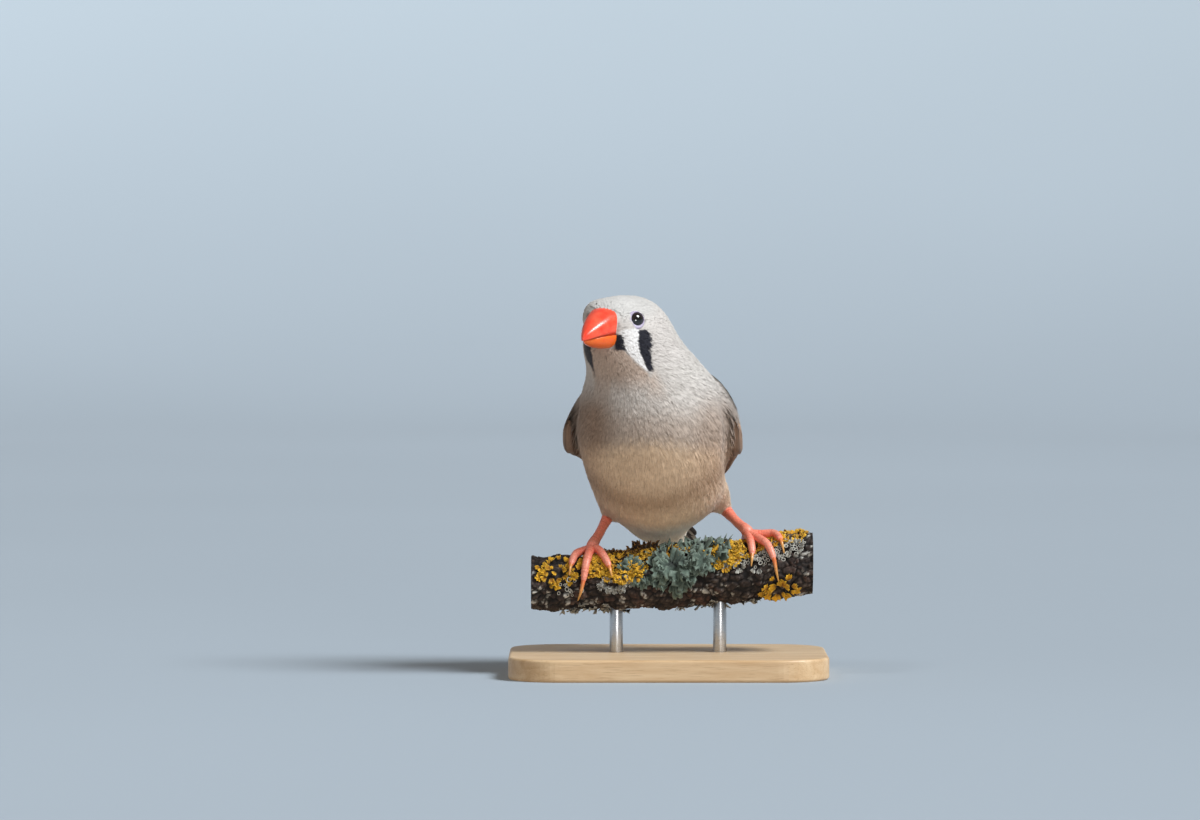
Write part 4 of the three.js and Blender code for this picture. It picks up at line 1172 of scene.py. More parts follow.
for side in HUNG:
    roots = spots_between((-5.5, 12), (-6.5, 1.2), 0.8)
    roots = roots[roots[:, 1] < np.interp(roots[:, 0], [2, 9, 12], [1.2, -2.6, -5.0])]
    tips = roots + np.stack([rng.uniform(5.0, 6.8, len(roots)), rng.uniform(0.6, 1.7, len(roots))], axis=1)
    hang = bow_of(side, roots[:, 0], roots[:, 1])
    tip_hang = bow_of(side, tips[:, 0], tips[:, 1])
    ease = np.interp(tips[:, 0], [-3, 5, 24, 40], [0.4, 1.0, 1.0, 0.4])
    high = np.interp(tips[:, 1], [-6.5, -3.0, -0.6, 2.6], [0.1, 0.6, 1.4, 2.4]) * ease
    high = high - tip_hang * np.interp(tips[:, 1], [-3, 1.5], [1.0, 0.45])
    lines, outs = laid_on_wing(
        side, roots, tips, -0.7 - hang, high,
        lambda u, v: np.interp(u, [-3, 1], [0, 1]) * np.interp(v, [-3.5, -1.5, 1], [0.0, 0.5, 5]),
    )
    mesh = fans_of_barbs(f"coat_side_{side}", lines, outs, np.full(len(roots), 2.5), 8, markings, 0.05)
    add_piece(mesh.name, mesh, plume, "body_feathers")
    roots = np.concatenate(
        [spots_between((-5, 13), (14.5, 26), 0.95), spots_between((-5.5, -0.5), (0, 24), 0.8)]
    )
    inward, straight = rng.uniform(-2.6, -1.2, len(roots)), rng.uniform(-0.6, 0.6, len(roots))
    drift = np.where(roots[:, 1] > 13, inward, straight)
    tips = roots + np.stack([rng.uniform(6.0, 8.2, len(roots)), drift], axis=1)
    inner = np.interp(tips[:, 1], [13, 15, 19, 25], [3.1, 2.9, 2.1, 0.5])
    high = inner * np.interp(tips[:, 0], [-2, 2, 8], [0.1, 0.45, 1.0])
    low = np.interp(roots[:, 1], [15, 20], [1.2, -0.6])
    low = np.where(roots[:, 0] < 3, -0.6 - bow_of(side, roots[:, 0], roots[:, 1]), low)
    lines, outs = laid_on_wing(
        side, roots, tips, low, high, lambda u, v: np.interp(u, [-3, 0, 3], [0, 1.2, 6])
    )
    mesh = fans_of_barbs(f"coat_shoulder_{side}", lines, outs, np.full(len(roots), 3.0), 9, markings, 0.05)
    add_piece(mesh.name, mesh, plume, "body_feathers")


# Tail: twelve short, square-ended dark feathers nearly closed, under black and white upper coverts
# and over long cream under coverts, with barred ones at each side of its root.
TAIL_ROOT, TAIL_PITCH, TAIL_LENGTH = np.array([-25.5, 0, 17.0]), math.radians(42), 37
TAIL_WEB = from_screen(66, 59, 57)
TAIL_EDGE = from_screen(150, 138, 128)
UNDER = from_screen(255, 248, 232)


def tail_sheet(u, v, rise):
    u, v, rise = np.broadcast_arrays(np.asarray(u, float), v, rise)
    down = np.array([-math.cos(TAIL_PITCH), 0, -math.sin(TAIL_PITCH)])
    back = np.array([down[2], 0, -down[0]])
    return TAIL_ROOT + u[..., None] * down + rise[..., None] * back + v[..., None] * np.array([0, 1.0, 0])


made = []
for side in (-1, 1):
    for i in range(6):
        made.append(
            vane(
                tail_sheet, [3, side * (0.5 + 0.25 * i)],
                [TAIL_LENGTH - [0.4, 0, 0, 0.4, 1.0, 2.0][i], side * (1.1 + 0.9 * i)], 3.6,
                [-0.45 - 0.16 * i, 0.45 - 0.3 * i], rows=18, web=TAIL_WEB, edge=TAIL_EDGE,
                dark=TAIL_WEB * 0.8, outer=0.5 + 0.12 * side, edge_at=0.9,
            )
        )
for row, (start, reach) in enumerate([(9, 11), (6, 9), (3, 8)]):
    for i in range(5):
        off = (i - 2) / 2 + 0.12 * (row % 2)
        pale = row != 1
        made.append(
            vane(
                tail_sheet, [start, 2.6 * off], [start + reach - 2.5 * off * off, 4.0 * off], 3.6,
                [0.9 - abs(off) + 0.3 * row, 1.3 - 0.7 * abs(off) + 0.25 * row], rows=10, outer=0.5,
                web=RUMP_DARK, edge=RUMP_PALE, dark=RUMP_PALE if pale else RUMP_DARK, edge_at=0.95,
            )
        )
for row, (start, reach) in enumerate([(6, 18), (3, 15), (1, 12)]):
    for i in range(6):
        off = (i - 2.5) / 2.5 + 0.1 * (row % 2)
        made.append(
            vane(
                tail_sheet, [start, 2.2 * off], [start + reach - 4 * off * off, 2.8 * off], 3.4,
                [-2.5 + 0.5 * abs(off) - 0.25 * row, -2.5 + 0.4 * abs(off) - 0.2 * row], rows=10,
                outer=0.5, web=UNDER, edge=UNDER * 1.03, dark=UNDER * 0.97, camber=-0.25,
            )
        )
for side, reach in ((-1, 6.0), (1, 7.6)):
    for i in range(4):
        made.append(
            vane(
                tail_sheet, [1.5 + 2.2 * i, side * 2.6], [9.5 + 2.6 * i, side * (reach - 0.3 * i)], 3.2,
                [-0.2, -0.5 - 0.15 * i], rows=10, outer=0.5, web=RUMP_DARK, edge=RUMP_DARK * 1.3,
                dark=RUMP_PALE if i % 2 else RUMP_DARK, edge_at=0.9,
            )
        )
mesh = joined_vanes("tail_feathers", made)
add_piece(mesh.name, mesh, flight, "tail_feathers", "tail")


# Vent: long soft cream feathers under the tail's root, which round off the body over the coverts.
roots = spots_between((-4, 15), (-3.6, 3.2), 1.15)
reach = np.stack([rng.uniform(6.5, 8.5, len(roots)), rng.normal(0, 0.3, len(roots))], axis=1)
tips = roots * [1, 1.05] + reach
lines, outs = [], []
for share in STATIONS:
    spot = roots + (tips - roots) * share
    round_off = np.sqrt(np.maximum(1 - (spot[:, 1] / 4.8) ** 2, 0.02))
    hang = round_off * np.interp(spot[:, 0], [0, 14, 23], [2.4, 2.2, 1.5])
    line = tail_sheet(spot[:, 0], spot[:, 1], -1.1 - hang)
    out = unit(tail_sheet(spot[:, 0], 1.15 * spot[:, 1], -4.6) - tail_sheet(spot[:, 0], spot[:, 1], -3.6))
    level = 0.1 * share - 1.1 * (1 - share**0.75)
    buried = (plumage(line) < level)[:, None]
    lifted, upward = settle(line, level, 3)
    lines.append(np.where(buried, lifted, line))
    outs.append(np.where(buried, upward, out))
mesh = fans_of_barbs(
    "coat_vent", np.stack(lines, axis=1), np.stack(outs, axis=1), np.full(len(roots), 2.9), 9, markings, 0.05
)
add_piece(mesh.name, mesh, plume, "body_feathers")


# Bill: a stout waxy cone of horn in two halves that close on a gently curved mouth line, coral
# above and orange below, with a smooth ridge and a small nostril at each side of its base.
BILL_ROOT_X, BILL_TIP_X, BILL_TIP_Z, CULMEN, GAPE, KEEL, BILL_HALF = 8.5, 22.8, 3.0, 8.4, 1.8, -2.3, 4.95
NOSTRIL = np.array([12.3, 3.5, 7.3])


def turned_rod(rings, sides):
    """A closed unit rod along x, of rings of unit circles, with a flat fan over each end."""
    rod = bmesh.new()
    line = [rod.verts.new((0, 0, 0))]
    line += [rod.verts.new((x, 0, 1)) for x in np.linspace(0, 1, rings)]
    line += [rod.verts.new((1, 0, 0))]
    line += [rod.edges.new(pair) for pair in zip(line, line[1:])]
    bmesh.ops.spin(
        rod, geom=line, cent=(0, 0, 0), axis=(1, 0, 0), angle=2 * math.pi, steps=sides, use_merge=True
    )
    bmesh.ops.remove_doubles(rod, verts=rod.verts, dist=1e-6)
    return rod


def turned_outwards(mesh):
    """Makes all faces of a closed mesh point outwards."""
    facing = bmesh.new()
    facing.from_mesh(mesh)
    bmesh.ops.recalc_face_normals(facing, faces=facing.faces)
    facing.to_mesh(mesh)
    facing.free()


def shaped(name, form, place_of):
    """A form's mesh with every point moved by a rule on (share along, turn round, radius share)."""
    mesh = bpy.data.meshes.new(name)
    form.to_mesh(mesh)
    form.free()
    raw = mesh_places(mesh)
    put_places(mesh, place_of(raw[:, 0], np.arctan2(raw[:, 1], raw[:, 2]), np.hypot(raw[:, 1], raw[:, 2])))
    turned_outwards(mesh)
    mesh.shade_smooth()
    return mesh


def mouth_height(share):
    return GAPE + (BILL_TIP_Z - 0.5 - GAPE) * share + 0.75 * np.sin(np.pi * share)


def bill_skin(upper):
    def place_of(along, turn, radius):
        share = 0.99 * along**0.8
        root = BILL_ROOT_X if upper else BILL_ROOT_X - 1.3
        tip = BILL_TIP_X if upper else BILL_TIP_X - 1
        x = root + (tip - root) * share
        arch = np.cos(turn)
        square = 0.62 + 0.2 * share
        across = np.sign(turn) * np.abs(np.sin(turn)) ** square
        if upper:
            taper = np.maximum(1 - share**1.6, 0) ** 0.8
            half = np.maximum(BILL_HALF * taper, 0.25)
            rim = mouth_height(share)
            crest = BILL_TIP_Z - 0.3 + (CULMEN + 0.5 - BILL_TIP_Z) * taper**0.85
            ridge = 1 + 0.035 * np.exp(-((turn / 0.2) ** 2))
        else:
            taper = np.maximum(1 - share**1.8, 0) ** 0.75
            half = np.maximum((BILL_HALF - 0.3) * taper, 0.2)
            rim = mouth_height((x - BILL_ROOT_X) / (BILL_TIP_X - BILL_ROOT_X)) - 0.16
            crest = np.minimum(BILL_TIP_Z - 0.9 + (KEEL - BILL_TIP_Z + 0.9) * taper, rim - 0.3)
            ridge = 1 + 0.02 * np.exp(-((turn / 0.3) ** 2))
        over = np.maximum(arch, 0) ** square * ridge
        z = rim + (crest - rim) * over * radius - 0.04 * np.minimum(arch, 0) * (1 if upper else -1)
        y = half * across * radius - (0.8 if upper else 0.1) * (1 - share) - 0.4 * share
        middle = rim + (crest - rim) * 0.35
        z = np.where(radius > 0.5, z, middle)
        local = np.stack([x, y, z], axis=1)
        if upper:
            for side in (-1, 1):
                near = np.linalg.norm(local - NOSTRIL * [1, side, 1], axis=1)
                local[:, 1] -= side * 0.55 * np.exp(-((near / 0.55) ** 2))
        return from_bird(from_head(local))

    return place_of


# The two_toned group: noise mixes a second colour into a first one, up to the share Most
two_toned, given, result = new_group(
    "two_toned", {**GRAIN_INPUTS, "Most": 1.0, "First": (1, 1, 1, 1), "Second": (1, 1, 1, 1)},
    {"Color": 4, "Grain": 1},
)
grain = add_grain(two_toned, given)
share = add_node(
    two_toned, "ShaderNodeMapRange", _0=grain.outputs[0], _1=given["Low"], _2=given["High"],
    _4=given["Most"],
)
tone = add_node(
    two_toned, "ShaderNodeMix", {"data_type": "RGBA"}, _0=share.outputs[0],
    _6=given["First"], _7=given["Second"],
)
two_toned.links.new(tone.outputs[2], result["Color"])
two_toned.links.new(grain.outputs[0], result["Grain"])


def add_two_tones(material, vector, first, second, **values):
    """The two_toned group in a material. The first colour may be another node's output."""
    first = first if isinstance(first, bpy.types.NodeSocket) else rgba(first)
    return add_node(
        material, "ShaderNodeGroup", {"node_tree": two_toned}, Vector=vector, First=first,
        Second=rgba(second), **values,
    )


def horn(name, base, cloudy, fleck):
    """Waxy horn: an even colour with faint clouds and fine flecks, translucent and polished."""
    material, shader = new_finish(
        name, Roughness=0.32, Coat_Weight=0.35, Coat_Roughness=0.2, Subsurface_Weight=0.12,
        Subsurface_Radius=(0.0012, 0.0004, 0.0002), Subsurface_Scale=1.0,
    )
    where = add_node(material, "ShaderNodeTexCoord").outputs["Object"]
    clouds = add_two_tones(material, where, base, cloudy, Scale=380.0, Detail=3.0, Low=0.35, High=0.65)
    flecks = add_two_tones(
        material, where, clouds.outputs["Color"], fleck, Scale=2400.0, Detail=2.0, Low=0.55, High=0.75,
        Most=0.3,
    )
    material.node_tree.links.new(flecks.outputs["Color"], shader.inputs["Base Color"])
    add_relief(material, shader, flecks.outputs["Grain"], 0.25, 0.00006)
    return material


CORAL, CORAL_CLOUD = from_screen(246, 70, 46), from_screen(252, 96, 68)
CORAL_FLECK = from_screen(236, 54, 38)
ORANGE, ORANGE_CLOUD = from_screen(255, 98, 22), from_screen(255, 120, 36)
ORANGE_FLECK = from_screen(246, 82, 22)
coral = horn("coral_horn", CORAL, CORAL_CLOUD, CORAL_FLECK)
orange = horn("orange_horn", ORANGE, ORANGE_CLOUD, ORANGE_FLECK)
upper = shaped("bill_upper_horn", turned_rod(44, 64), bill_skin(True))
add_piece(upper.name, upper, coral, "bill", "bill_upper")
lower = shaped("bill_lower_horn", turned_rod(40, 56), bill_skin(False))
add_piece(lower.name, lower, orange, "bill", "bill_lower")


# Eyes again: the globes and their lids, now that the bill and the face round them are in place.
def eye_frame(looks):
    """Two ways across the lid, the first one upward, and the way it looks."""
    up = np.array([0, 0, 1.0]) - looks * looks[2]
    up = unit(up)
    return np.cross(looks, up), up, looks


LID_DARK, LID_PALE = from_screen(150, 140, 172), from_screen(200, 192, 216)
PUPIL, IRIS = from_screen(9, 9, 13), from_screen(30, 19, 22)
glass, shader = new_finish("eye_glass", Roughness=0.05, Coat_Weight=1.0, Coat_Roughness=0.02)
shade = add_node(glass, "ShaderNodeAttribute", {"attribute_name": PAINT})
glass.node_tree.links.new(shade.outputs["Color"], shader.inputs["Base Color"])
lid_skin, shader = new_finish(
    "lid_skin", Roughness=0.45, Subsurface_Weight=0.1, Subsurface_Radius=(0.0006, 0.0003, 0.0003)
)
where = add_node(lid_skin, "ShaderNodeTexCoord").outputs["Object"]
lilac = add_two_tones(lid_skin, where, LID_DARK, LID_PALE, Scale=3200.0, Detail=3.0)
lid_skin.node_tree.links.new(lilac.outputs["Color"], shader.inputs["Base Color"])
add_relief(lid_skin, shader, lilac.outputs["Grain"], 0.5, 0.00008)
for side, (place, looks, centre) in EYES.items():
    right, up, out = eye_frame(looks)
    turned_to = Matrix(np.stack([right, up, out], axis=1)).to_4x4()
    ball = bmesh.new()
    bmesh.ops.create_uvsphere(
        ball, u_segments=48, v_segments=32, radius=GLOBE, matrix=Matrix.Translation(centre) @ turned_to
    )
    globe_mesh = bpy.data.meshes.new(f"eye_{side}_globe")
    ball.to_mesh(globe_mesh)
    ball.free()
    raw = mesh_places(globe_mesh)
    from_axis = np.linalg.norm(np.cross(raw - centre, out), axis=1)
    iris = smooth_step(from_axis, 0.95, 1.1) * smooth_step(-from_axis, -2.0, -1.55)
    painted(globe_mesh, mixed(np.tile(PUPIL, (len(raw), 1)), IRIS, iris))
    put_places(globe_mesh, from_bird(raw))
    globe_mesh.shade_smooth()
    add_piece(f"eye_{side}_globe", globe_mesh, glass, "eyes", f"eye_{side}")
    ring = bmesh.new()
    bmesh.ops.create_circle(
        ring, segments=14, radius=LID,
        matrix=Matrix.Translation((LID_RING, 0, 0)) @ Matrix.Rotation(math.pi / 2, 4, "X"),
    )
    bmesh.ops.spin(
        ring, geom=ring.verts[:] + ring.edges[:], cent=(0, 0, 0), axis=(0, 0, 1),
        angle=2 * math.pi, steps=72, use_merge=True,
    )
    bmesh.ops.remove_doubles(ring, verts=ring.verts, dist=1e-5)
    lid_mesh = bpy.data.meshes.new(f"eye_{side}_lid")
    ring.to_mesh(lid_mesh)
    ring.free()
    raw = mesh_places(lid_mesh)
    turn = np.arctan2(raw[:, 1], raw[:, 0])
    from_axis = np.hypot(raw[:, 0], raw[:, 1]) - LID_RING
    rearward = -1 if side == "left" else 1
    wide = 0.95 + 0.75 * np.cos(turn - (math.radians(-90) + rearward * math.radians(-55)))
    wide = wide + 0.07 * np.sin(26 * turn) * smooth_step(from_axis, -0.2, 0.2)
    radius = LID_RING - LID * 0.85 + (from_axis + LID * 0.85) * wide
    raw = np.stack([radius * np.cos(turn), radius * np.sin(turn), raw[:, 2] * 0.7 - 0.12], axis=1)
    put_places(lid_mesh, from_bird(place + raw @ np.stack([right, up, out])))
    lid_mesh.shade_smooth()
    add_piece(f"eye_{side}_lid", lid_mesh, lid_skin, "eyes")


# Legs: bare salmon-pink shanks in a row of overlapping front scutes, four toes scaled above and
# padded below, gripping the bark, and slim curved amber claws.
PERCH_RADIUS, PERCH_LEFT, PERCH_RIGHT = 7.8, -37, 39
PERCH_SLOPE, PERCH_BOW, PERCH_THICKEN = math.radians(4.1), 0.0011, 0.018
PAD, TOE, TOE_END, CLAW_TIP = 1.75, 0.92, 0.7, 0.14
BARK_GAP = 0.42
PADS = {"right": (-20.6, 3), "left": (21.5, 4)}
TOES = {
    "right": {
        "outer": ([(-22.6, 5), (-24.8, 18), (-26.2, 50)], (-26.7, 72)),
        "middle": ([(-21.3, 25), (-22.2, 55), (-22.9, 84)], (-24.4, 126)),
        "inner": ([(-18.9, 16), (-17.2, 37), (-15.9, 58)], (-15.1, 80)),
        "hind": ([(-20.8, -25), (-21.0, -55), (-21.2, -80)], (-21.5, -116)),
    },
    "left": {
        "inner": ([(22.1, 24), (22.5, 42), (22.6, 57)], (22.3, 79)),
        "middle": ([(24.0, 22), (26.6, 43), (28.4, 73)], (29.7, 114)),
        "outer": ([(25.2, 6), (28.6, 12), (30.3, 38)], (31.2, 62)),
        "hind": ([(21.1, -25), (20.7, -53), (20.4, -77)], (20.2, -113)),
    },
}
LEG_PINK = from_screen(252, 136, 110)
# Painted highlight and painted shade for the scutes
LEG_HIGHLIGHT = from_screen(250, 172, 150)
LEG_CREASE_SHADE = from_screen(206, 84, 62)
CLAW_ROOT = from_screen(222, 108, 58)
CLAW_PALE = from_screen(226, 172, 96)


def bark_radius(x, turn):
    return (
        PERCH_RADIUS + PERCH_THICKEN * x
        + 0.28 * np.sin(x * 0.31 + 1.2) * np.cos(2 * turn + x * 0.11)
        + 0.22 * np.sin(x * 0.62 + 3 * turn)
        + 0.16 * np.cos(x * 1.05 - 4 * turn + 0.6)
    )


def on_bark(x, turn, lift):
    """Places round the perch, right, back and up from its axis. A turn of 0 is on top, 90 in front."""
    x, turn, lift = np.broadcast_arrays(np.asarray(x, float), turn, lift)
    out = bark_radius(x, turn) + lift
    rise = math.tan(PERCH_SLOPE) * x + PERCH_BOW * x * x
    return np.stack([x, -np.sin(turn) * out, rise + np.cos(turn) * out], axis=-1)


def from_perch(places):
    return (np.asarray(places) + [0, 0, BIRD_PLACE[2]]) * MM


def bent_rod(name, points, radius_of, rings, sides, paint, front, first=0.0, last=1.0):
    """A scaled limb along a curve: radius and colour come from share along, turn round and length."""
    places, runs, length = curve_through(points)
    span = len(places) - 1

    def place_of(along, turn, radius):
        at = (first + (last - first) * along) * span
        centre = np.stack([np.interp(at, range(span + 1), places[:, k]) for k in range(3)], 1)
        run = unit(np.stack([np.interp(at, range(span + 1), runs[:, k]) for k in range(3)], 1))
        out = unit(front(centre, run))
        side = np.cross(run, out)
        reach = radius_of(along, turn, length * (last - first)) * radius
        way = out * np.cos(turn)[:, None] + side * np.sin(turn)[:, None]
        return from_perch(centre + way * reach[:, None])

    form = turned_rod(rings, sides)
    along = np.array([v.co.x for v in form.verts])
    turn = np.array([math.atan2(v.co.y, v.co.z) for v in form.verts])
    mesh = shaped(name, form, place_of)
    painted(mesh, paint(along, turn, length * (last - first)))
    return mesh


def away_from_perch(centre, run):
    axis = np.stack([centre[:, 0], 0 * centre[:, 0], math.tan(PERCH_SLOPE) * centre[:, 0]], 1)
    out = centre - axis
    out[:, 0] = 0
    return out - (out * run).sum(axis=1, keepdims=True) * run


def forward_of_leg(centre, run):
    out = np.tile([0.25, -1.0, 0.35], (len(centre), 1))
    return out - (out * run).sum(axis=1, keepdims=True) * run


def scutes(along, turn, length, size):
    """A saw edge along each scute, strongest on the front: 0 at a crease, 1 at a scute's lower lip."""
    place = along * length / size + 0.22 * np.sin(5 * along * length / size)
    edge = place % 1.0
    return edge**0.5 * smooth_step(1 - edge, 0.0, 0.16) * smooth_step(np.cos(turn), -0.35, 0.35)


SHANK_SCUTE, TOE_SCUTE, CLAW_ROOT_RADIUS = 1.9, 1.35, 0.68


def shank_radius(along, turn, length):
    thick = np.interp(along, [0, 0.12, 0.26, 0.45, 0.72, 0.9, 1], [1.5, 1.72, 1.5, 1.24, 1.3, 1.6, 1.6])
    ends = np.sqrt(np.clip(np.minimum(along / 0.06, (1 - along) / 0.08), 0.02, 1))
    oval = 1 + 0.08 * np.cos(turn) ** 2
    return thick * oval * (1 + 0.05 * scutes(along, turn, length, SHANK_SCUTE)) * ends


def toe_radius(along, turn, length):
    joints = 0.13 * np.sin(3 * np.pi * along + 0.5) ** 2 * smooth_step(-np.cos(turn), -0.3, 0.8)
    thick = np.interp(along, [0, 0.3, 0.78, 0.93, 1], [1.25, 1.12, 0.95, 0.8, 0.55]) + joints
    return thick * (1 + 0.05 * scutes(along, turn, length, TOE_SCUTE))


def claw_radius(along, turn, length):
    thick = CLAW_ROOT_RADIUS + (CLAW_TIP - CLAW_ROOT_RADIUS) * along**0.9
    return thick * (1 + 0.12 * np.cos(turn) ** 2) * np.sqrt(np.clip((1 - along) / 0.05, 0.05, 1))


def claw_paint(along, turn, length):
    return mixed(np.tile(CLAW_ROOT, (len(along), 1)), CLAW_PALE, smooth_step(along, 0.0, 0.75))


def leg_paint(size, pale_from):
    """Leg colours: pink plates with lips lightened as painted highlight and creases darkened as painted
    shade, and a painted highlight on the upper side that grows towards the toes' ends.
    """

    def paint(along, turn, length):
        step = scutes(along, turn, length, size)
        place = along * length / size + 0.22 * np.sin(5 * along * length / size)
        crease = smooth_step(-(place % 1.0), -0.16, -0.02) * smooth_step(np.cos(turn), -0.5, 0.2)
        pale = smooth_step(along, pale_from, pale_from + 0.5) * smooth_step(np.cos(turn), -0.4, 0.8)
        colour = mixed(np.tile(LEG_PINK, (len(along), 1)), LEG_HIGHLIGHT, step * 0.35 + pale * 0.45)
        return mixed(colour, LEG_CREASE_SHADE, crease * 0.65)

    return paint


leg_skin, shader = new_finish(
    "leg_skin", Roughness=0.42, Coat_Weight=0.12, Coat_Roughness=0.3, Subsurface_Weight=0.12,
    Subsurface_Radius=(0.0008, 0.0003, 0.0002),
)
shade = add_node(leg_skin, "ShaderNodeAttribute", {"attribute_name": PAINT})
where = add_node(leg_skin, "ShaderNodeTexCoord")
cells = add_node(leg_skin, "ShaderNodeTexVoronoi", _0=where.outputs["Object"], Scale=1900.0)
level = add_node(leg_skin, "ShaderNodeMapRange", _0=cells.outputs[0], _1=0.0, _2=0.7, _3=1.08, _4=0.82)
tint = add_node(
    leg_skin, "ShaderNodeMix", {"data_type": "RGBA", "blend_type": "MULTIPLY"}, _0=1.0,
    _6=shade.outputs["Color"], _7=level.outputs[0],
)
leg_skin.node_tree.links.new(tint.outputs[2], shader.inputs["Base Color"])
add_relief(leg_skin, shader, cells.outputs[0], 0.45, 0.00009).invert = True
claw_horn = painted_finish(
    "claw_horn", {"Scale": 1800.0, "Detail": 2.0, "Dark": 0.86, "Light": 1.1},
    Roughness=0.3, Coat_Weight=0.3, Coat_Roughness=0.15,
)

for side, toes in TOES.items():
    pad_x, pad_turn = PADS[side]
    pad = on_bark(pad_x, math.radians(pad_turn), PAD + BARK_GAP)
    ankle = np.array(ANKLES[side], float)
    hip = np.array(HIPS[side], float)
    knee = ankle + unit(hip - ankle) * 2.2

    line = [knee, ankle, ankle * 0.45 + pad * 0.55 + [0, 0.15, 0], pad + [0, 0, 0.3], pad - [0, 0, 0.9]]
    shank = bent_rod(
        f"shank_{side}_skin", line, shank_radius, 110, 28, leg_paint(SHANK_SCUTE, 0.6), forward_of_leg
    )
    add_piece(shank.name, shank, leg_skin, "leg_skin", f"shank_{side}")
    for toe_name, (path, tip) in toes.items():
        places = [
            on_bark(x, math.radians(turn), lift + BARK_GAP)
            for (x, turn), lift in zip(path, (TOE + 0.35, TOE, TOE_END))
        ]
        (end_x, end_turn), (tip_x, tip_turn) = path[-1], tip
        hump = on_bark((end_x + tip_x) / 2, math.radians((end_turn + tip_turn) / 2), 1.3)
        point = on_bark(tip_x, math.radians(tip_turn), CLAW_TIP + BARK_GAP)
        line = [pad, *places, hump, point]
        curve, _, length = curve_through(line)
        toe_end = float(np.argmin(np.linalg.norm(curve - places[2], axis=1))) / (len(curve) - 1)
        toe = bent_rod(
            f"toe_{toe_name}_{side}_skin", line, toe_radius, 84, 24, leg_paint(TOE_SCUTE, 0.3),
            away_from_perch, 0, toe_end,
        )
        add_piece(toe.name, toe, leg_skin, "leg_skin", f"toe_{toe_name}_{side}")
        claw = bent_rod(
            f"claw_{toe_name}_{side}_horn", line, claw_radius, 40, 18, claw_paint, away_from_perch,
            toe_end - 1.1 / length, 1,
        )
        add_piece(claw.name, claw, claw_horn, "claws", f"claw_{toe_name}_{side}")


# Perch: a short cut length of old branch, its dark bark split into small plates by deep cracks,
# with crusts in its surface, sawn square at both ends.
BARK_CRACK_SHADE = from_screen(20, 16, 15)
BARK_PLATE = from_screen(66, 55, 50)
BARK_WARM = from_screen(94, 68, 58)
BARK_HIGHLIGHT = from_screen(112, 100, 92)
CRUST = from_screen(206, 206, 200)
WOOD_PALE, WOOD_DARK = from_screen(204, 180, 146), from_screen(182, 152, 116)
CUT_RIM = 0.004


def noise_at(places, size, seed):
    shift = Vector((seed, 2.1 * seed, 0.7))
    return np.array([noise.noise(Vector(place / size) + shift) for place in places])


def plates_at(places, size, seed):
    """How far each place is from the nearest crack between bark plates, 0 in a crack."""
    found = []
    for place in places * np.array([0.62, 1, 1]):
        near, _ = noise.voronoi(Vector(place / size) + Vector((seed, 0, 3.3 * seed)))
        found.append(near[1] - near[0])
    return np.array(found)


branch = turned_rod(300, 150)
branch_mesh = bpy.data.meshes.new("branch_bark")
branch.to_mesh(branch_mesh)
branch.free()
raw = mesh_places(branch_mesh)
radius, turn = np.hypot(raw[:, 1], raw[:, 2]), np.arctan2(raw[:, 1], raw[:, 2])
x = PERCH_LEFT + (PERCH_RIGHT - PERCH_LEFT) * raw[:, 0]
smooth = on_bark(x, turn, 0.0)
warped = smooth + 0.5 * np.stack([noise_at(smooth, 1.6, 4.0 + k) for k in range(3)], axis=1)
plates = smooth_step(plates_at(warped, 2.2, 1.0), 0.02, 0.30)
chips = smooth_step(plates_at(warped, 0.95, 6.0), 0.0, 0.35)
swell, grit = noise_at(smooth, 3.4, 8.0), noise_at(smooth, 0.55, 5.0)
lift = -0.62 * (1 - plates) - 0.20 * (1 - chips) + 0.28 * swell + 0.12 * grit + 0.12
inner = np.clip(np.minimum(raw[:, 0], 1 - raw[:, 0]) / CUT_RIM, 0, 1)
lift = np.minimum(lift, 0.32) * inner
out, middle = on_bark(x, turn, lift), on_bark(x, turn, -bark_radius(x, turn))
put_places(branch_mesh, from_perch(middle + (out - middle) * radius[:, None]))
tone = mixed(np.tile(BARK_PLATE, (len(x), 1)), BARK_WARM, smooth_step(noise_at(smooth, 4.5, 2.0), 0.0, 0.45))
# Painted highlight: the bark paler where the same noise raises it highest
tone = mixed(tone, BARK_HIGHLIGHT, smooth_step(grit + swell, 0.15, 0.7) * 0.7)
# Painted shade: the cracks between plates and between chips darkened nearly black
tone = mixed(tone, BARK_CRACK_SHADE, 1 - np.minimum(plates, 0.35 + 0.65 * chips))
crusted = smooth_step(noise_at(smooth, 2.6, 11.0) + 0.35 * noise_at(smooth, 0.7, 12.0), 0.36, 0.46)
tone = mixed(tone, CRUST, crusted * plates * 0.85)
painted(branch_mesh, tone * (1 + 0.25 * noise_at(smooth, 0.4, 9.0))[:, None])
turned_outwards(branch_mesh)
BARK_SLOT, CUT_SLOT = 0, 1
for face in branch_mesh.polygons:
    ends = [raw[corner, 0] for corner in face.vertices]
    face.material_index = CUT_SLOT if max(ends) - min(ends) < 1e-6 else BARK_SLOT
branch_mesh.shade_smooth()
BARK_GRAIN = {
    "Scale": 1500.0, "Detail": 6.0, "Roughness": 0.7, "Low": 0.32, "High": 0.68, "Dark": 0.55, "Light": 1.3,
}
bark = painted_finish("bark", BARK_GRAIN, (0.9, 0.0003), Roughness=0.88)
cut_wood, shader = new_finish("cut_wood", Roughness=0.8)
where = add_node(cut_wood, "ShaderNodeTexCoord")
flat = add_node(cut_wood, "ShaderNodeMapping", _0=where.outputs["Object"])
flat.inputs["Location"].default_value = (0, 0, -BIRD_PLACE[2] * MM)
flat.inputs["Scale"].default_value = (0, 1, 1)
rings = add_node(
    cut_wood, "ShaderNodeTexWave", {"wave_type": "RINGS", "rings_direction": "X"}, _0=flat.outputs[0],
    Scale=260.0, Distortion=2.6, Detail=3.0,
)
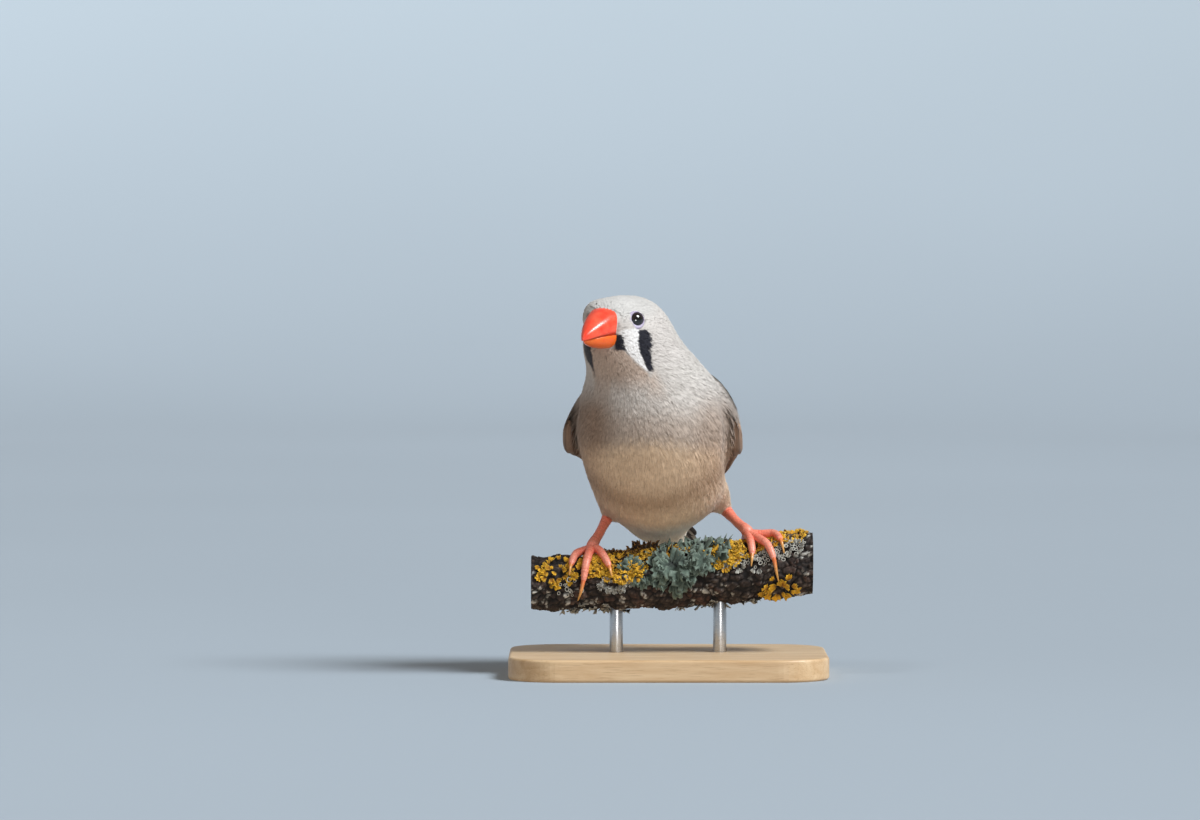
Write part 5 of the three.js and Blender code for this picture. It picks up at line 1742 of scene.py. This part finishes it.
grown = add_node(
    cut_wood, "ShaderNodeMix", {"data_type": "RGBA"}, _0=rings.outputs[0],
    _6=rgba(WOOD_PALE), _7=rgba(WOOD_DARK),
)
pores = add_mottle(
    cut_wood, grown.outputs[2], where.outputs["Object"], Scale=2200.0, Detail=3.0, Dark=0.82, Light=1.08
)
cut_wood.node_tree.links.new(pores.outputs["Color"], shader.inputs["Base Color"])
add_relief(cut_wood, shader, pores.outputs["Grain"], 0.3, 0.0002)
add_piece("branch_bark", branch_mesh, [bark, cut_wood], "bark", "perch_branch")


# Lichens on the bark: small leafy rosettes, orange-yellow at the left and right, brown on top, large
# grey-green ones in the middle and grey crusts round the rest. Each lobe is a thin plate that grows
# outward from the bark with a ruffled rim curled up.
LOBE_ROWS, LOBE_COLUMNS = 7, 9
lichen_finish = painted_finish(
    "lichen", {"Scale": 1600.0, "Detail": 4.0, "Dark": 0.72, "Light": 1.18}, (0.7, 0.0002),
    Roughness=0.85, Sheen_Weight=0.1,
)


def lobe(x0, turn0, heading, size, curl, tones):
    """One lobe: its points on the bark, top and underside in turn, and their colours."""
    row = np.linspace(0, 1, LOBE_ROWS)[:, None]
    column = np.linspace(-1, 1, LOBE_COLUMNS)[None]
    wave, phase = rng.uniform(2.2, 3.6), rng.uniform(0, 6, 4)
    half = size * 0.66 * (0.28 + 0.72 * row**0.6) * (1 + 0.10 * np.sin(6 * row + phase[0]))
    rim = 1 + 0.16 * row * np.cos(wave * np.pi * column + phase[1]) - 0.2 * column**2
    reach, across = size * row * rim, half * column
    dx = reach * np.cos(heading) - across * np.sin(heading)
    dt = reach * np.sin(heading) + across * np.cos(heading)
    ruffle = 0.16 * size * row * np.sin(wave * 1.4 * column + phase[2])
    ruffle = ruffle + 0.05 * size * np.sin(7 * row + 5 * column)
    lift = 0.05 + curl * row**1.5 + 0.22 * size * np.abs(column) ** 2.5 * row + ruffle
    x = np.clip(x0 + dx, PERCH_LEFT + 0.6, PERCH_RIGHT - 0.6)
    top = on_bark(x, turn0 + dt / PERCH_RADIUS, lift + 0.14)
    under = on_bark(x, turn0 + dt * 0.97 / PERCH_RADIUS, lift - 0.04)
    deep, body, edge = tones
    # Painted shade: the lobe darkens towards its root, and its underside takes the same shade colour
    inner = smooth_step(row + 0 * column, -0.1, 0.6).ravel()
    colour = mixed(np.tile(deep, (inner.size, 1)), body, inner)
    border = np.clip(smooth_step(row * rim, 0.72, 1.0) + np.abs(column) ** 5 * 0.7, 0, 1).ravel()
    colour = mixed(colour, edge, border * 0.7)
    places = np.stack([top, under], axis=2).reshape(-1, 3)
    return places, np.stack([colour, deep + 0 * colour], axis=1).reshape(-1, 3)


def lichens(name, tones, patches):
    """Lobes scattered over patches (x, turn, half length, half breadth, count, size, curl)."""
    parts, paints = [], []
    for x0, turn0, wide, tall, count, size, curl in patches:
        for _ in range(count):
            angle, far = rng.uniform(0, 2 * np.pi), np.sqrt(rng.random())
            x = np.clip(x0 + wide * far * np.cos(angle), PERCH_LEFT + 1, PERCH_RIGHT - 1)
            turn = math.radians(turn0) + tall * far * np.sin(angle) / PERCH_RADIUS
            share = rng.random()
            body = tones[1] * (1 - share) + tones[2] * share
            chosen = (tones[0], body * rng.uniform(0.75, 1.1), tones[3])
            places, colours = lobe(
                x, turn, angle + rng.normal(0, 0.9), size * rng.uniform(0.55, 1.35),
                curl * rng.uniform(0.3, 1.3), chosen,
            )
            parts.append(places)
            paints.append(colours)
    count = LOBE_ROWS * LOBE_COLUMNS * 2
    faces = plate_faces(LOBE_ROWS, LOBE_COLUMNS)
    faces = (faces[None] + count * np.arange(len(parts))[:, None, None]).reshape(-1, 3)
    colours = np.clip(np.concatenate(paints), 0, 1)
    mesh = triangle_mesh(name, from_perch(np.concatenate(parts)), faces, colours, {})
    turned_outwards(mesh)
    mesh.shade_smooth()
    add_piece(name, mesh, lichen_finish, "bark")


# Each lichen's colours in screen values: the shade painted at lobe roots and undersides, dark, pale and rim;
# and its patches
LICHENS = {
    "lichen_yellow": (
        [(92, 52, 8), (176, 118, 14), (226, 170, 26), (248, 206, 56)],
        [
            (-13.0, 36, 8.0, 6.5, 190, 1.35, 0.6), (-20.0, 50, 4.5, 4.0, 55, 1.2, 0.5),
            (-1.0, 14, 6.5, 3.0, 70, 1.3, 0.8), (15.5, 40, 4.5, 5.0, 95, 1.35, 0.6),
            (21.5, 26, 9.0, 4.0, 130, 1.25, 0.6), (33.0, 14, 4.5, 3.5, 60, 1.3, 0.6),
            (-30.0, 62, 5.0, 4.5, 45, 1.2, 0.5), (-16, -55, 9.0, 4.5, 62, 1.3, 0.6),
            (18, -60, 9.0, 5.0, 72, 1.3, 0.6), (30, 128, 5.0, 2.5, 18, 1.6, 0.6),
        ],
    ),
    "lichen_brown": (
        [(48, 30, 12), (112, 74, 18), (148, 96, 22), (182, 126, 36)],
        [
            (-6.5, -12, 2.4, 2.2, 40, 1.9, 2.3), (-12.0, 2, 5.5, 2.4, 60, 1.4, 1.0),
            (4.0, 8, 5.0, 2.0, 36, 1.3, 0.9),
        ],
    ),
    "lichen_green": (
        [(13, 19, 16), (44, 58, 50), (86, 104, 92), (142, 160, 146)],
        [
            (3.0, 44, 6.5, 6.0, 34, 3.4, 1.5), (10.0, 38, 3.8, 5.0, 22, 3.2, 1.7),
            (1.0, 82, 4.5, 4.0, 17, 3.0, 1.3), (12.0, 2, 3.0, 2.4, 11, 2.6, 1.9),
            (-8.0, 70, 3.4, 3.0, 12, 2.4, 0.8), (2.0, -50, 7.0, 5.0, 26, 2.8, 1.1),
            (-4.0, 8, 2.0, 1.6, 5, 2.2, 1.2),
        ],
    ),
    "lichen_grey": (
        [(36, 36, 34), (96, 96, 90), (160, 160, 152), (214, 214, 206)],
        [
            (-14.0, 92, 4.5, 2.0, 44, 1.0, 0.35), (31.0, 52, 5.0, 3.0, 30, 1.1, 0.4),
            (22.0, 72, 8.0, 2.0, 34, 0.9, 0.4), (-20, 168, 12, 3.0, 20, 1.5, 0.8),
            (12, 172, 16, 3.0, 24, 1.5, 0.8), (-28, -80, 7.0, 5.0, 30, 1.2, 0.4),
            (4, -95, 12.0, 4.0, 40, 1.2, 0.4),
        ],
    ),
}
for name, (tones, patches) in LICHENS.items():
    lichens(name, [from_screen(*tone) for tone in tones], patches)


# Lichen cups: small dark discs in thick pale rims, the fruits of a crust lichen, in two clusters at
# the right of the branch and one low at its left. Each is one turned cup set square on the bark.
CUP_SIDES = 14
CUP_PROFILE = np.array(
    [(0, 0.3), (0.62, 0.27), (0.74, 0.45), (0.92, 0.52), (1.0, 0.42), (0.86, 0.1), (0.5, -0.5), (0, -0.5)]
)
CUP_TONES = [
    (34, 32, 34), (40, 38, 38), (196, 196, 186), (206, 206, 196), (150, 150, 142), (110, 110, 104),
    (90, 90, 86), (90, 90, 86),
]
CUP_CLUSTERS = [(32.5, 52, 4.0, 3.2, 30), (24.0, 66, 4.5, 2.2, 18), (-27.0, 96, 4.0, 2.4, 14)]
cup = bmesh.new()
line = [cup.verts.new((r, 0, h)) for r, h in CUP_PROFILE]
line += [cup.edges.new(pair) for pair in zip(line, line[1:])]
bmesh.ops.spin(
    cup, geom=line, cent=(0, 0, 0), axis=(0, 0, 1), angle=2 * math.pi, steps=CUP_SIDES, use_merge=True
)
bmesh.ops.remove_doubles(cup, verts=cup.verts, dist=1e-5)
bmesh.ops.triangulate(cup, faces=cup.faces)
bmesh.ops.recalc_face_normals(cup, faces=cup.faces)
cup.verts.index_update()
form = np.array([v.co for v in cup.verts])
faces = np.array([[v.index for v in face.verts] for face in cup.faces])
cup.free()
across, angles = np.hypot(form[:, 0], form[:, 1]), np.arctan2(form[:, 1], form[:, 0])
ring = np.abs(np.stack([across, form[:, 2]], 1)[:, None] - CUP_PROFILE).sum(axis=2).argmin(axis=1)
cup_tones = np.array([from_screen(*tone) for tone in CUP_TONES])
parts = []
for x0, turn0, wide, tall, count in CUP_CLUSTERS:
    for _ in range(count):
        angle, far = rng.uniform(0, 2 * np.pi), np.sqrt(rng.random())
        x = x0 + wide * far * np.cos(angle)
        turn = math.radians(turn0) + tall * far * np.sin(angle) / PERCH_RADIUS
        foot = on_bark(x, turn, 0.0)
        up = unit(on_bark(x, turn, 1.0) - foot)
        ahead = unit(np.cross(up, [0.3, 1.0, 0.2]))
        beside = np.cross(up, ahead)
        size = rng.uniform(0.38, 0.72)
        wobble = 1 + 0.10 * np.sin(2 * angles + rng.uniform(0, 6))
        flat = (form[:, :1] * ahead + form[:, 1:2] * beside) * wobble[:, None]
        parts.append(foot + size * (flat + form[:, 2:] * up))
faces = (faces[None] + len(form) * np.arange(len(parts))[:, None, None]).reshape(-1, 3)
colours = np.tile(cup_tones[ring], (len(parts), 1))
mesh = triangle_mesh("lichen_cups", from_perch(np.concatenate(parts)), faces, colours, {})
mesh.shade_smooth()
add_piece(mesh.name, mesh, lichen_finish, "bark")


# Stand: a flat base of pale sanded beech with rounded corners and a satin oil finish, and two
# short brushed steel rods pressed into it and into the branch.
BASE_LENGTH, BASE_WIDTH, BASE_THICK, BASE_CORNER, BASE_BEVEL = 86, 62, 6, 14, 0.8
ROD_RADIUS, ROD_OFFSET, ROD_SOCKET = 1.8, 14, 3
BEECH, BEECH_BAND = from_screen(222, 196, 158), from_screen(196, 162, 120)
BEECH_RAY = from_screen(158, 122, 86)
STEEL_DARK, STEEL_PALE = from_screen(176, 178, 181), from_screen(214, 215, 216)
board = bmesh.new()
board_size = Matrix.Diagonal((BASE_LENGTH, BASE_WIDTH, BASE_THICK, 1))
bmesh.ops.create_cube(board, size=1, matrix=Matrix.Translation((0, 0, BASE_THICK / 2)) @ board_size)
upright = [e for e in board.edges if abs(e.verts[0].co.z - e.verts[1].co.z) > 1]
bmesh.ops.bevel(
    board, geom=upright, offset=BASE_CORNER, offset_type="OFFSET", segments=16, profile=0.5,
    affect="EDGES", material=-1,
)
rim = [e for e in board.edges if abs(e.verts[0].co.z - e.verts[1].co.z) < 0.01 and e.calc_face_angle(0) > 1]
bmesh.ops.bevel(
    board, geom=rim, offset=BASE_BEVEL, offset_type="OFFSET", segments=4, profile=0.5, affect="EDGES",
    material=-1,
)
board_mesh = bpy.data.meshes.new("stand_board")
board.to_mesh(board_mesh)
board.free()
put_places(board_mesh, mesh_places(board_mesh) * MM)
beech, shader = new_finish("beech", Roughness=0.46, Coat_Weight=0.12, Coat_Roughness=0.35)
where = add_node(beech, "ShaderNodeTexCoord")
stretch = add_node(beech, "ShaderNodeMapping", _0=where.outputs["Object"])
stretch.inputs["Scale"].default_value = (1, 9, 9)
fibre = add_node(beech, "ShaderNodeMapping", _0=where.outputs["Object"])
fibre.inputs["Scale"].default_value = (1, 22, 22)
grown = add_two_tones(
    beech, stretch.outputs[0], BEECH, BEECH_BAND, Scale=34.0, Detail=6.0, Roughness=0.62,
    Distortion=0.4, Low=0.32, High=0.68,
)
rays = add_two_tones(
    beech, fibre.outputs[0], grown.outputs["Color"], BEECH_RAY, Scale=190.0, Detail=3.0, Low=0.56, High=0.72,
    Most=0.5,
)
beech.node_tree.links.new(rays.outputs["Color"], shader.inputs["Base Color"])
add_relief(beech, shader, rays.outputs["Grain"], 0.2, 0.0001)
add_piece("stand_board", board_mesh, beech, "stand_wood", "stand_base")

steel, shader = new_finish("brushed_steel", Metallic=1.0, Roughness=0.32)
where = add_node(steel, "ShaderNodeTexCoord")
stretch = add_node(steel, "ShaderNodeMapping", _0=where.outputs["Object"])
stretch.inputs["Scale"].default_value = (1, 1, 14)
scratch = add_two_tones(
    steel, stretch.outputs[0], STEEL_DARK, STEEL_PALE, Scale=900.0, Detail=4.0, Low=0.0, High=1.0
)
steel.node_tree.links.new(scratch.outputs["Color"], shader.inputs["Base Color"])
polish = add_node(
    steel, "ShaderNodeMapRange", _0=scratch.outputs["Grain"], _1=0.3, _2=0.7, _3=0.24, _4=0.42
)
steel.node_tree.links.new(polish.outputs[0], shader.inputs["Roughness"])
for name, x in {"left": -ROD_OFFSET, "right": ROD_OFFSET}.items():
    under = on_bark(x, math.pi, 0.0)[2] + BIRD_PLACE[2]
    low, high = BASE_THICK - ROD_SOCKET, under + ROD_SOCKET
    rod = bmesh.new()
    bmesh.ops.create_cone(
        rod, segments=48, radius1=ROD_RADIUS, radius2=ROD_RADIUS, depth=high - low, cap_ends=True,
        matrix=Matrix.Translation((x, 0, (low + high) / 2)),
    )
    bmesh.ops.bevel(
        rod, geom=[e for e in rod.edges if abs(e.verts[0].co.z - e.verts[1].co.z) < 0.01], offset=0.2,
        offset_type="OFFSET", segments=2, profile=0.5, affect="EDGES", material=-1,
    )
    rod_mesh = bpy.data.meshes.new(f"stand_rod_{name}_steel")
    rod.to_mesh(rod_mesh)
    rod.free()
    put_places(rod_mesh, mesh_places(rod_mesh) * MM)
    rod_mesh.shade_smooth()
    add_piece(rod_mesh.name, rod_mesh, steel, "stand_steel", f"stand_rod_{name}")


bpy.context.view_layer.update()
